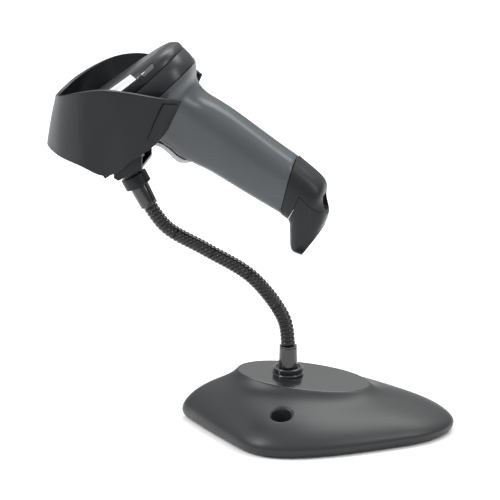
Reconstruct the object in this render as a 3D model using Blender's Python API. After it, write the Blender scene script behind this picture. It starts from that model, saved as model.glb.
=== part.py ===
"""Handheld code scanner standing head down in the cup of a gooseneck desk stand.

Metres, +Z up. The origin is on the floor plane, in the middle of the whole object's length and width. The cup is
towards -X and the scanner's grip points towards +X. The plane y = 0 is the plane of symmetry.

The stand is modelled in the frame of the empty "stand_frame", whose Z axis is the axis of the neck's foot. The
scanner is modelled in the frame of the empty "scanner_frame": +X runs from the nose to the back of the head, +Z is
the top of the head, and the grip hangs down along -Z.
"""

import math

import bmesh
import bpy
import numpy as np
from mathutils import Matrix, Vector

MM = 0.001

# ---- fits -------------------------------------------------------------------------------------------------------
GAP = 0.30 * MM  # between faces that touch
RUNNING = 0.08 * MM  # radial clearance of a turning pin

# ---- stand: base ------------------------------------------------------------------------------------------------
BASE_FRONT = 72.0 * MM  # neck axis to the front tip
BASE_REAR = 111.5 * MM  # neck axis to the rear tip
BASE_HALF_WIDTH = 77.0 * MM
BASE_WALL = 2.6 * MM
BASE_RIM = 5.2 * MM  # outline of the base to the edge of its hollow
BASE_LIP = 0.8 * MM  # floor to the shell's lower edge
BASE_WIDEST = 6.4 * MM  # height at which the base is as wide as its outline
# how far the shell's lower edge is curled in, at heights up to the widest
BASE_CURL = [(3.4 * MM, BASE_LIP), (1.9 * MM, 1.7 * MM), (0.7 * MM, 3.3 * MM), (0.1 * MM, 5.0 * MM)]
HOLLOW_EDGE = 5.0 * MM  # height of the hollow at its edge
DOME_POWER = 1.6  # roundness of the flank
ISLAND_RISE = 6.5 * MM  # the flat stands this far above the dome
ISLAND_POWER = 7.0
FLAT_HEIGHT = 34.0 * MM  # top of the flat at the neck axis
FLAT_TILT = math.radians(5.0)  # the flat falls towards the rear
FLAT_CENTRE = 10.5 * MM
FLAT_HALF_LENGTH = 44.5 * MM
FLAT_HALF_WIDTH = 27.5 * MM
SEAT_HEIGHT = 26.7 * MM  # inner face of the top wall
PLATE_HEIGHT = 1.2 * MM  # floor to the bottom plate
PLATE_THICKNESS = 2.0 * MM
PLATE_TOP = PLATE_HEIGHT + PLATE_THICKNESS
WEIGHT_THICKNESS = 7.0 * MM
WEIGHT_DRAW_IN = 0.38  # share of the way from the base's edge to the flat's rim
WEIGHT_HOLE_RADIUS = 17.0 * MM
SCREW_HOLE_RADIUS = 7.0 * MM  # counter-mounting hole in each flank
SCREW_WALL = 1.8 * MM
SCREW_SHANK_RADIUS = 2.6 * MM
SCREW_HOLE_X = 4.0 * MM
SCREW_HOLE_Y = 0.662 * BASE_HALF_WIDTH
SCREW_FLOOR = 9.0 * MM  # floor plane to the hole's shoulder
PAD_RADIUS = 11.0 * MM
PAD_PLACES = [(-0.667 * BASE_FRONT, 0.0), (0.377 * BASE_REAR, 0.558 * BASE_HALF_WIDTH),
              (0.377 * BASE_REAR, -0.558 * BASE_HALF_WIDTH)]
PLATE_SCREW_RADIUS = 3.0 * MM
PLATE_SCREW_PLACES = [(-BASE_FRONT / 3, 0.428 * BASE_HALF_WIDTH), (-BASE_FRONT / 3, -0.428 * BASE_HALF_WIDTH),
                      (0.7 * BASE_REAR, 0.0)]

# ---- stand: neck ------------------------------------------------------------------------------------------------
NECK_RADIUS = 4.9 * MM
FERRULE_RADIUS = NECK_RADIUS + 1.5 * MM
RING_RADIUS = FERRULE_RADIUS + 3.7 * MM
RING_SEAT = 33.0 * MM  # floor to the spot face that the ring sits on
RING_TOP = 39.4 * MM
FERRULE_END_RADIUS = NECK_RADIUS + 1.05 * MM
FERRULE_TOP = 54.0 * MM
FERRULE_LENGTH = 14.2 * MM  # upper ferrule
STUD_RADIUS = 4.0 * MM
STUD_ENTRY = 10.0 * MM  # how far the stud goes into the lower ferrule
BALL_SOCKET_RADIUS = NECK_RADIUS + 0.65 * MM
NECK_END_GAP = 0.15 * NECK_RADIUS  # from each ferrule, as the neck leaves it at a slant
NECK_JOINTS = 5
NECK_ROUTE = [(0.0, 54.2), (-4.3, 75.0), (-25.0, 100.5), (-55.5, 117.6), (-80.5, 130.6), (-93.6, 146.4)]
TOP_TILT = math.radians(28.0)  # the neck's top end leans this far forward
COLLAR_RADIUS = 9.0 * MM
COLLAR_HEIGHT = 8.2 * MM
NIPPLE_RADIUS = 6.8 * MM
NIPPLE_HEIGHT = 2.7 * MM

# ---- stand: cup -------------------------------------------------------------------------------------------------
HEAD_HALF_WIDTH = 33.5 * MM  # of the scanner, which the cup fits
CUP_WALL = 2.5 * MM
CUP_HALF_WIDTH = HEAD_HALF_WIDTH + 19.5 * MM  # at the rim
CUP_FOOT_HALF_WIDTH = HEAD_HALF_WIDTH + 9.5 * MM  # at the lower edge
# (x, share of the half width, z) from the rear corner of an ear to the middle of the front
CUP_RIM = [(-64.0, 0.68, 228.0), (-77.0, 0.925, 232.0), (-97.0, 0.99, 235.5), (-114.0, 1.0, 236.5),
           (-131.0, 0.92, 233.2), (-147.5, 0.56, 226.0), (-155.0, 0.0, 220.5)]
CUP_EDGE = [(-75.5, 0.84, 205.0), (-82.0, 0.985, 198.0), (-97.0, 1.0, 187.2), (-114.0, 0.89, 175.4),
            (-132.0, 0.92, 182.0), (-150.5, 0.62, 185.6), (-162.0, 0.0, 187.0)]
CUP_BULGE = 0.5 * MM
FLOOR_THICKNESS = 2.5 * MM
FLOOR_START = (-115.5, 173.3)  # lower face of the cup's floor
FLOOR_LENGTH = 24.0 * MM
FLOOR_SLOPE = math.radians(35.2)
BRACKET_HALF_WIDTH = 17.5 * MM
BRACKET_WALL = 2.0 * MM
BRACKET_REAR = -95.0 * MM
BRACKET_FRONT = -114.0 * MM
BRACKET_BEVEL_X = 3.0 * MM  # chamfer of its lower front edge
BRACKET_BEVEL_Z = 3.4 * MM
BRACKET_REAR_WALL = 5.0 * MM
CUP_SCREW_X = 8.5 * MM  # up the cup's floor
CUP_SCREW_Y = 9.0 * MM
CUP_SCREW_RADIUS = 1.4 * MM
CUP_SCREW_HEAD = 2.6 * MM
MAGNET_X = 15.5 * MM
MAGNET_RADIUS = 4.0 * MM
CUP_PIECES = ("upper_ferrule", "upper_collar", "cup_shell", "cup_bracket", "ear_pad_left", "ear_pad_right",
              "cup_screw_left", "cup_screw_right", "cup_magnet")

# ---- scanner ----------------------------------------------------------------------------------------------------
HEAD_TILT = math.radians(43.0)
SCANNER_PLACE = (-87.04, 222.38)  # world x, z of the scanner frame's origin
SHELL_WALL = 2.2 * MM
HEAD_BACK = 32.5 * MM
NOSE_TOP = -57.0 * MM  # x of the nose at the top of the head
NOSE_BOTTOM = -46.0 * MM  # x of the nose at its lower lip
HEAD_TOP = 24.0 * MM  # at the middle of the head
HEAD_FALL = 0.107  # the top falls this much for its length, towards the back
HEAD_LIP = -14.4 * MM  # z of the nose's lower lip
COVER_SEAM = 12.0 * MM
GRIP_SEAM = 0.0 * MM
BEZEL_DEPTH = 11.0 * MM
MOUTH_TOP = -6.5 * MM  # along the nose's face, from its top
MOUTH_LOW = -37.0 * MM
MOUTH_HALF_WIDTH = HEAD_HALF_WIDTH - 7.5 * MM
MOUTH_CORNER = 4.0 * MM
WINDOW_PLACE = BEZEL_DEPTH - 3.2 * MM  # behind the nose's face
GRIP_HALF_WIDTH = 17.8 * MM
TRIGGER_HALF_WIDTH = 9.0 * MM
TRIGGER_PIN = (-14.9, -21.3)
PIN_RADIUS = 1.25 * MM
# x and z of the hollows that the trigger's arm, blade and lower end move in
ARM_SLOT = ((-30.0, -10.4), (-29.0, -17.4))
BLADE_ROOM = ((-30.0, -13.2), (-49.4, -21.8))
TAIL_ROOM = ((-20.0, -8.0), (-49.4, -43.0))
PORT_PLACE = (33.5, -119.5)  # middle of the cable port, in the end cap's face
PORT_WIDTH = 12.5 * MM
PORT_HEIGHT = 7.6 * MM
PORT_DEPTH = 15.0 * MM
PORT_WALL = 1.2 * MM
PORT_PROUD = 0.5 * MM
PORT_ROOM = 14.0 * MM  # cut clear in front of the port
PORT_LEAN = math.radians(16.0)  # the port runs along the grip
WINDOW_THICKNESS = 1.5 * MM
LENS_LENGTH = 8.8 * MM
LENS_HEIGHT = 3.0 * MM
LENS_PLACE = (14.8, 17.4)
LENS_PROUD = 0.2 * MM
LENS_INSIDE = 1.2 * MM  # the lens stands this far inside the cover's wall


# ---- tools ------------------------------------------------------------------------------------------------------
def clear_scene():
    for obj in list(bpy.data.objects):
        bpy.data.objects.remove(obj, do_unlink=True)


def finish(name, colour, roughness, metallic=0.0):
    """A plain Principled material for one piece."""
    material = bpy.data.materials.new(name)
    material.use_nodes = True
    shader = material.node_tree.nodes["Principled BSDF"]
    shader.inputs["Base Color"].default_value = (*colour, 1.0)
    shader.inputs["Roughness"].default_value = roughness
    shader.inputs["Metallic"].default_value = metallic
    return material


FINISHES = {
    "stand": ((0.062, 0.065, 0.068), 0.55, 0.0),
    "neck": ((0.012, 0.012, 0.013), 0.3, 0.6),
    "cup": ((0.035, 0.038, 0.041), 0.5, 0.0),
    "cover": ((0.045, 0.049, 0.052), 0.42, 0.0),
    "grip": ((0.095, 0.104, 0.110), 0.38, 0.0),
    "rubber": ((0.025, 0.026, 0.028), 0.8, 0.0),
    "steel": ((0.45, 0.45, 0.46), 0.35, 1.0),
    "glass": ((0.03, 0.03, 0.035), 0.05, 0.0),
    "light": ((0.55, 0.57, 0.58), 0.2, 0.0),
    "board": ((0.02, 0.12, 0.05), 0.5, 0.0),
}


def frame_at(name, place, parent=None):
    """An empty that carries pieces."""
    frame = bpy.data.objects.new(name, None)
    bpy.context.scene.collection.objects.link(frame)
    frame.location = place
    frame.parent = parent
    return frame


def add(name, bm, style, parent=None, place=(0.0, 0.0, 0.0), smooth=40.0):
    """Turns a bmesh into a named object with its own material."""
    bmesh.ops.recalc_face_normals(bm, faces=bm.faces)
    mesh = bpy.data.meshes.new(name)
    bm.to_mesh(mesh)
    bm.free()
    mesh.shade_smooth()
    mesh.set_sharp_from_angle(angle=math.radians(smooth))
    obj = bpy.data.objects.new(name, mesh)
    bpy.context.scene.collection.objects.link(obj)
    obj.location = place
    obj.parent = parent or bpy.data.objects["stand_frame"]
    if style:
        mesh.materials.append(finish(name, *FINISHES[style]))
    return obj


def boolean(target, cutter, operation="DIFFERENCE"):
    """Adds a Boolean with a helper that is left out of renders."""
    modifier = target.modifiers.new(cutter.name, "BOOLEAN")
    modifier.object = cutter
    modifier.operation = operation
    modifier.solver = "EXACT"
    cutter.hide_render = True
    cutter.display_type = "WIRE"


def smooth_curve(points, steps, closed=False):
    """Catmull-Rom curve through the points, with so many steps to a span."""
    count = len(points)
    points = [Vector(p) for p in points]

    def point(i):
        if closed:
            return points[i % count]
        if i < 0:
            return 2 * points[0] - points[1]
        if i >= count:
            return 2 * points[-1] - points[-2]
        return points[i]

    out = []
    for i in range(count if closed else count - 1):
        a, b, c, d = (point(i + k) for k in (-1, 0, 1, 2))
        for k in range(steps):
            t = k / steps
            out.append(0.5 * (2 * b + (c - a) * t + (2 * a - 5 * b + 4 * c - d) * t * t
                              + (3 * b - a - 3 * c + d) * t * t * t))
    if not closed:
        out.append(points[-1].copy())
    return out


def loft(rings, wrap=False):
    """Bridges rings of equal length. Ends are capped unless the rings wrap round."""
    bm = bmesh.new()
    loops = [[bm.verts.new(p) for p in ring] for ring in rings]
    pairs = list(zip(loops, loops[1:]))
    if wrap:
        pairs.append((loops[-1], loops[0]))
    else:
        bm.faces.new(loops[0])
        bm.faces.new(loops[-1])
    for a, b in pairs:
        for i in range(len(a)):
            j = (i + 1) % len(a)
            bm.faces.new((a[i], a[j], b[j], b[i]))
    return bm


def turned(profile, sides=24, hollow=False):
    """Turns (radius, height) points round the local Z axis."""
    angles = [2 * math.pi * k / sides for k in range(sides)]
    rings = [[Vector((r * math.cos(a), r * math.sin(a), z)) for a in angles] for r, z in profile]
    return loft(rings, wrap=hollow)


def prism(outline, low, high, axis="Y"):
    """Extrudes a plane outline. Axis Y takes (x, z) points and axis Z takes (x, y) points."""
    if axis == "Y":
        rings = [[Vector((u, level, v)) for u, v in outline] for level in (low, high)]
    else:
        rings = [[Vector((u, v, level)) for u, v in outline] for level in (low, high)]
    return loft(rings)


def box(low, high):
    outline = [(low[0], low[2]), (high[0], low[2]), (high[0], high[2]), (low[0], high[2])]
    return prism(outline, low[1], high[1])


def bevelled(bm, width, segments=2, angle=40.0):
    """Rounds the edges that turn by more than the angle."""
    bmesh.ops.recalc_face_normals(bm, faces=bm.faces)
    limit = math.radians(angle)
    edges = [e for e in bm.edges if e.is_manifold and e.calc_face_angle(0.0) > limit]
    bmesh.ops.bevel(bm, geom=edges, offset=width, segments=segments, profile=0.5, affect="EDGES",
                    clamp_overlap=True)
    return bm


def moved(bm, matrix):
    bmesh.ops.transform(bm, matrix=matrix, verts=bm.verts)
    return bm


def circle(x, y, radius, sides=20):
    angles = [2 * math.pi * k / sides for k in range(sides)]
    return [(x + radius * math.cos(a), y + radius * math.sin(a)) for a in angles]


def inset(ring, distance):
    """Moves each point of a counter-clockwise (x, y) ring inwards along its normal."""
    points = np.array([(p[0], p[1]) for p in ring])
    along = np.roll(points, -1, axis=0) - np.roll(points, 1, axis=0)
    along /= np.linalg.norm(along, axis=1)[:, None]
    inward = np.stack([-along[:, 1], along[:, 0]], axis=1)
    return [tuple(p) for p in points + distance * inward]


# ---- stand: base ------------------------------------------------------------------------------------------------
def base_outline(distance=0.0, steps=3):
    """The base seen from above, as a ring of (x, y), drawn in by a distance."""
    near = [(-1.0, 0.0), (-0.87, -0.205), (-0.54, -0.585), (-0.21, -0.915), (0.07, -1.0), (0.34, -0.885),
            (0.66, -0.615), (0.90, -0.34), (1.0, 0.0)]
    far = [(x, -y) for x, y in reversed(near[1:-1])]
    reach = {True: BASE_FRONT, False: BASE_REAR}
    points = [(x * reach[x < 0], y * BASE_HALF_WIDTH, 0.0) for x, y in near + far]
    return inset(smooth_curve(points, steps, closed=True), distance)


def flat_height(x):
    """Height of the flat over x."""
    return FLAT_HEIGHT - math.tan(FLAT_TILT) * x


def flat_point(x, y, inner=0.0):
    """The point of the flat's elliptical rim that lies towards (x, y)."""
    a, b = FLAT_HALF_LENGTH - inner, FLAT_HALF_WIDTH - inner
    angle = math.atan2(y / b, (x - FLAT_CENTRE) / a)
    return FLAT_CENTRE + a * math.cos(angle), b * math.sin(angle)


def flank(outline, t, low, top, inner=0.0):
    """One ring of the base's upper surface: t is 0 at the outer edge and 1 at the flat's rim."""
    ring = []
    for x, y in outline:
        rim_x, rim_y = flat_point(x, y, inner)
        rim_z = flat_height(rim_x) if top is None else top
        dome = rim_z - low - ISLAND_RISE
        z = low + dome * (1 - (1 - t) ** DOME_POWER) ** (1 / DOME_POWER) + ISLAND_RISE * t ** ISLAND_POWER
        ring.append(Vector((x + (rim_x - x) * t, y + (rim_y - y) * t, z)))
    return ring


def level(ring, z):
    """A flat ring at a height, from (x, y) points."""
    return [Vector((x, y, z)) for x, y in ring]


def build_base():
    """The base's shell, hollow below, with its seat for the neck and its two counter-mounting holes."""
    outer = base_outline()
    rows = (0.0, 0.03, 0.08, 0.16, 0.28, 0.42, 0.57, 0.71, 0.83, 0.92, 1.0)
    rings = [level(base_outline(draw_in), z) for draw_in, z in BASE_CURL]
    rings += [flank(outer, t, BASE_WIDEST, None) for t in rows]
    shell = add("base_shell", loft(rings), "stand")

    inner = base_outline(BASE_RIM)
    rows = (0.0, 0.05, 0.14, 0.28, 0.45, 0.65, 0.85, 1.0)
    rings = [level(inner, -2 * MM)]
    rings += [flank(inner, t, HOLLOW_EDGE, SEAT_HEIGHT, 2 * BASE_WALL) for t in rows]
    hollow = add("base_hollow", loft(rings), None)
    boolean(shell, hollow)

    seat = turned([(RING_RADIUS + GAP, RING_SEAT), (RING_RADIUS + GAP, FLAT_HEIGHT + 9 * MM)])
    boolean(shell, add("ring_seat", seat, None))
    stud_hole = turned([(STUD_RADIUS + GAP, SEAT_HEIGHT - 9 * MM), (STUD_RADIUS + GAP, RING_SEAT + 1 * MM)], 16)
    boolean(shell, add("stud_hole", stud_hole, None))

    for side in (-1, 1):
        place = (SCREW_HOLE_X, side * SCREW_HOLE_Y, 0.0)
        outside = SCREW_HOLE_RADIUS + SCREW_WALL
        pillar = turned([(outside, PLATE_TOP + GAP), (outside, FLAT_HEIGHT)], 20)
        boolean(hollow, add(f"screw_pillar_{side}", pillar, None, place=place))
        bore = turned([(SCREW_SHANK_RADIUS, -5 * MM), (SCREW_SHANK_RADIUS, SCREW_FLOOR),
                       (SCREW_HOLE_RADIUS, SCREW_FLOOR), (SCREW_HOLE_RADIUS, 50 * MM)], 20)
        boolean(shell, add(f"screw_bore_{side}", bore, None, place=place))

    build_base_inside()


def build_base_inside():
    """The plate under the base, its weight, pads and screws."""
    plate = add("base_bottom_plate", prism(base_outline(BASE_RIM + GAP), PLATE_HEIGHT, PLATE_TOP, "Z"), "stand")
    for side in (-1, 1):
        hole = prism(circle(SCREW_HOLE_X, side * SCREW_HOLE_Y, SCREW_SHANK_RADIUS), 0.0, PLATE_TOP + GAP, "Z")
        boolean(plate, add(f"plate_hole_{side}", hole, None))

    low = PLATE_TOP + GAP
    slab = [(p.x, p.y) for p in flank(base_outline(BASE_RIM), WEIGHT_DRAW_IN, 0.0, 0.0)]
    weight = add("base_weight", prism(slab, low, low + WEIGHT_THICKNESS, "Z"), "steel")
    well = prism(circle(0.0, 0.0, WEIGHT_HOLE_RADIUS, 24), 0.0, 2 * low + WEIGHT_THICKNESS, "Z")
    boolean(weight, add("weight_well", well, None))
    for side in (-1, 1):
        clear = SCREW_HOLE_RADIUS + SCREW_WALL + GAP
        notch = prism(circle(SCREW_HOLE_X, side * SCREW_HOLE_Y, clear), 0.0, 2 * low + WEIGHT_THICKNESS, "Z")
        boolean(weight, add(f"weight_notch_{side}", notch, None))

    for i, (x, y) in enumerate(PAD_PLACES, 1):
        pad = turned([(PAD_RADIUS - 0.4 * MM, 0.0), (PAD_RADIUS, 0.4 * MM), (PAD_RADIUS, PLATE_HEIGHT - GAP)], 20)
        add(f"base_pad_{i}", pad, "rubber", place=(x, y, 0.0))
    for i, (x, y) in enumerate(PLATE_SCREW_PLACES, 1):
        shank = PLATE_SCREW_RADIUS / 2
        head = [(PLATE_SCREW_RADIUS, PLATE_HEIGHT - 0.9 * MM), (PLATE_SCREW_RADIUS, PLATE_HEIGHT + 0.6 * MM),
                (shank, PLATE_HEIGHT + 0.6 * MM), (shank, PLATE_TOP + WEIGHT_THICKNESS / 2)]
        add(f"plate_screw_{i}", turned(head, 12), "steel", place=(x, y, 0.0))
        room = [(PLATE_SCREW_RADIUS + GAP, -1 * MM), (PLATE_SCREW_RADIUS + GAP, PLATE_HEIGHT + 0.6 * MM + GAP),
                (shank + GAP, PLATE_HEIGHT + 0.6 * MM + GAP), (shank + GAP, PLATE_TOP + WEIGHT_THICKNESS / 2 + GAP)]
        cutter = add(f"plate_screw_room_{i}", turned(room, 12), None, place=(x, y, 0.0))
        boolean(plate, cutter)
        boolean(weight, cutter)

    build_wing_nut()


def build_wing_nut():
    """The nut that pulls the neck down into the base, in the well of the weight."""
    bottom = SEAT_HEIGHT - GAP - 8 * MM
    top = SEAT_HEIGHT - GAP
    nut = add("wing_nut", turned([(6.5 * MM, bottom), (6.5 * MM, top)], 16), "steel")
    wing = [(-13 * MM, bottom - 4 * MM), (-8 * MM, bottom - 4 * MM), (-4 * MM, bottom + 1 * MM),
            (4 * MM, bottom + 1 * MM), (8 * MM, bottom - 4 * MM), (13 * MM, bottom - 4 * MM),
            (13 * MM, bottom + 3 * MM), (6 * MM, bottom + 5 * MM), (-6 * MM, bottom + 5 * MM),
            (-13 * MM, bottom + 3 * MM)]
    boolean(nut, add("wing", prism(wing, -1.2 * MM, 1.2 * MM), None), "UNION")
    bore = turned([(STUD_RADIUS + GAP, bottom - 9 * MM), (STUD_RADIUS + GAP, top + 1 * MM)], 16)
    boolean(nut, add("wing_nut_bore", bore, None))


# ---- stand: neck ------------------------------------------------------------------------------------------------
def build_neck_foot():
    low = RING_SEAT + GAP
    bore = FERRULE_RADIUS + GAP
    ring = [(bore, low), (RING_RADIUS - 0.5 * MM, low), (RING_RADIUS, low + 0.5 * MM), (RING_RADIUS, low + 1.6 * MM),
            (RING_RADIUS - 0.5 * MM, low + 2.1 * MM), (RING_RADIUS, RING_TOP - 1.4 * MM),
            (RING_RADIUS - 0.7 * MM, RING_TOP - 0.2 * MM), (RING_RADIUS - 1.4 * MM, RING_TOP),
            (bore, RING_TOP - 2.0 * MM)]
    add("neck_socket_ring", turned(ring, 28, hollow=True), "neck")

    hole = STUD_RADIUS + GAP
    roof = low + STUD_ENTRY + GAP
    ferrule = [(hole, roof), (hole, low), (FERRULE_RADIUS, low), (FERRULE_RADIUS, RING_TOP),
               (FERRULE_END_RADIUS, FERRULE_TOP - 0.5 * MM), (FERRULE_END_RADIUS - 0.5 * MM, FERRULE_TOP)]
    add("lower_ferrule", turned(ferrule, 24), "neck")
    stud = [(STUD_RADIUS - 0.6 * MM, SEAT_HEIGHT - 13 * MM), (STUD_RADIUS, SEAT_HEIGHT - 12.4 * MM),
            (STUD_RADIUS, low + STUD_ENTRY)]
    add("neck_stud", turned(stud, 16), "steel")


def neck_curve(steps=16):
    """Points and distances along the neck's centre line, from the lower ferrule to the upper one."""
    route = [(x * MM, 0.0, z * MM) for x, z in NECK_ROUTE]
    start = Vector((0.0, 0.0, 1.0))
    end = Vector((-math.sin(TOP_TILT), 0.0, math.cos(TOP_TILT)))
    tail = 10 * MM
    route = [Vector(route[0]) - tail * start, *route, Vector(route[-1]) + tail * end]
    points = smooth_curve(route, steps)[steps:-steps]
    lengths = np.concatenate([[0.0], np.cumsum([(b - a).length for a, b in zip(points, points[1:])])])
    return points, lengths


def neck_frame(s):
    """Matrix at a distance along the neck: its Z axis is the tangent and its Y axis is the world's Y."""
    points, lengths = neck_curve()
    i = min(max(int(np.searchsorted(lengths, s)) - 1, 0), len(points) - 2)
    t = (s - lengths[i]) / (lengths[i + 1] - lengths[i])
    low, high = max(i - 1, 0), min(i + 2, len(points) - 1)
    tangent = (points[high] - points[low]).normalized()
    side = Vector((0.0, 1.0, 0.0))
    matrix = Matrix.Identity(4)
    matrix.col[0][:3] = side.cross(tangent)
    matrix.col[1][:3] = side
    matrix.col[2][:3] = tangent
    matrix.col[3][:3] = points[i].lerp(points[i + 1], t)
    return matrix


def neck_joint(k):
    """Distance along the neck of joint k, counted from 1."""
    return neck_curve()[1][-1] * (k - 0.5) / NECK_JOINTS


def ring_at(matrix, radius, offset, sides=12):
    """A ring round a matrix's Z axis, at an offset along it."""
    angles = [2 * math.pi * k / sides for k in range(sides)]
    return [matrix @ Vector((radius * math.cos(a), radius * math.sin(a), offset)) for a in angles]


def build_neck():
    """Segments of the gooseneck. Each ends in a ball that turns in the next one's socket."""
    total = neck_curve()[1][-1]
    rim = math.acos(NECK_RADIUS / BALL_SOCKET_RADIUS)
    for k in range(NECK_JOINTS + 1):
        start = neck_joint(k) if k else NECK_END_GAP
        end = neck_joint(k + 1) if k < NECK_JOINTS else total - NECK_END_GAP
        rings = []
        if k:
            frame = neck_frame(start)
            for angle in (math.radians(82), math.radians(55), rim):
                rings.append(ring_at(frame, BALL_SOCKET_RADIUS * math.cos(angle), BALL_SOCKET_RADIUS * math.sin(angle)))
            start += BALL_SOCKET_RADIUS * math.sin(rim) + 3 * MM
        for i in range(5):
            rings.append(ring_at(neck_frame(start + (end - start) * i / 4), NECK_RADIUS, 0.0))
        if k < NECK_JOINTS:
            frame = neck_frame(end)
            for angle in (math.radians(30), math.radians(58), math.radians(82)):
                rings.append(ring_at(frame, NECK_RADIUS * math.cos(angle), NECK_RADIUS * math.sin(angle)))
        place = neck_frame(neck_joint(k) if k else 0.0).translation
        segment = moved(loft(rings), Matrix.Translation(-place))
        add(f"neck_segment_{k}", segment, "neck", place=place)


def build_neck_top():
    """Upper ferrule and collar, both turned on the neck's end axis."""
    end = neck_frame(neck_curve()[1][-1])
    end = Matrix.Translation(end.translation) @ Matrix.Rotation(-TOP_TILT, 4, "Y")
    ferrule = [(FERRULE_END_RADIUS - 0.5 * MM, 0.0), (FERRULE_END_RADIUS, 0.5 * MM),
               (FERRULE_RADIUS, FERRULE_LENGTH), (FERRULE_RADIUS - 0.3 * MM, FERRULE_LENGTH + 0.3 * MM)]
    add("upper_ferrule", moved(turned(ferrule), end), "neck")
    low = FERRULE_LENGTH + 0.3 * MM + GAP
    high = low + COLLAR_HEIGHT
    collar = [(COLLAR_RADIUS - 0.8 * MM, low), (COLLAR_RADIUS, low + 0.8 * MM), (COLLAR_RADIUS, high - 0.8 * MM),
              (COLLAR_RADIUS - 0.8 * MM, high), (NIPPLE_RADIUS, high), (NIPPLE_RADIUS, high + NIPPLE_HEIGHT)]
    add("upper_collar", moved(turned(collar, 28), end), "neck")
    return end, high + NIPPLE_HEIGHT + GAP


# ---- stand: cup -------------------------------------------------------------------------------------------------
def cup_rails(steps):
    """The rim and the lower edge, each from the near ear round the front to the far ear."""
    rails = []
    for points, half_width in ((CUP_RIM, CUP_HALF_WIDTH), (CUP_EDGE, CUP_FOOT_HALF_WIDTH)):
        near = [(x * MM, -share * half_width, z * MM) for x, share, z in points]
        far = [(x, -y, z) for x, y, z in reversed(near[:-1])]
        rails.append(smooth_curve(near + far, steps))
    return rails


def cup_surface(steps, rows):
    """Grid of outer points and outward normals, column by column from ear to ear."""
    rim, edge = cup_rails(steps)
    grid = np.zeros((len(rim), rows, 3))
    for i, (top, bottom) in enumerate(zip(rim, edge)):
        for j in range(rows):
            v = j / (rows - 1)
            grid[i, j] = top.lerp(bottom, v)
    along = np.gradient(grid, axis=0)
    down = np.gradient(grid, axis=1)
    normal = np.cross(along, down)
    normal /= np.linalg.norm(normal, axis=2)[:, :, None]
    if np.sum(normal[:, :, 1] * grid[:, :, 1]) < 0:
        normal = -normal
    bulge = np.sin(np.linspace(0.0, np.pi, rows))[None, :, None]
    return grid + CUP_BULGE * bulge * normal, normal


def sheet(outer, inner):
    """A closed slab between two grids of points."""
    bm = bmesh.new()
    columns, rows = outer.shape[:2]
    front = [[bm.verts.new(outer[i, j]) for j in range(rows)] for i in range(columns)]
    back = [[bm.verts.new(inner[i, j]) for j in range(rows)] for i in range(columns)]
    for i in range(columns - 1):
        for j in range(rows - 1):
            bm.faces.new((front[i][j], front[i + 1][j], front[i + 1][j + 1], front[i][j + 1]))
            bm.faces.new((back[i][j], back[i][j + 1], back[i + 1][j + 1], back[i + 1][j]))
    for i in range(columns - 1):
        for j in (0, rows - 1):
            bm.faces.new((front[i][j], back[i][j], back[i + 1][j], front[i + 1][j]))
    for j in range(rows - 1):
        for i in (0, columns - 1):
            bm.faces.new((front[i][j], front[i][j + 1], back[i][j + 1], back[i][j]))
    return bm


def floor_frame():
    """Matrix of the cup's floor: X along it, up and back, and Z off its upper face."""
    place = Vector((FLOOR_START[0] * MM, 0.0, FLOOR_START[1] * MM))
    return Matrix.Translation(place) @ Matrix.Rotation(-FLOOR_SLOPE, 4, "Y")


def build_cup():
    """The cup's wall and floor, and the panels on its ears."""
    outer, normal = cup_surface(4, 6)
    cup = add("cup_shell", sheet(outer, outer - CUP_WALL * normal), "cup")
    wide = CUP_FOOT_HALF_WIDTH * 0.89 - 0.6 * CUP_WALL
    floor = moved(box((0.0, -wide, 0.0), (FLOOR_LENGTH, wide, FLOOR_THICKNESS)), floor_frame())
    boolean(cup, add("cup_floor", floor, None), "UNION")

    outer, normal = cup_surface(8, 12)
    first, last = 1, 10
    for side, columns in ((-1, slice(first, last)), (1, slice(-last, -first))):
        part, out = outer[columns, 1:-2], normal[columns, 1:-2]
        pad = sheet(part + (GAP + 0.9 * MM) * out, part + GAP * out)
        add("ear_pad_right" if side < 0 else "ear_pad_left", pad, "rubber")


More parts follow.
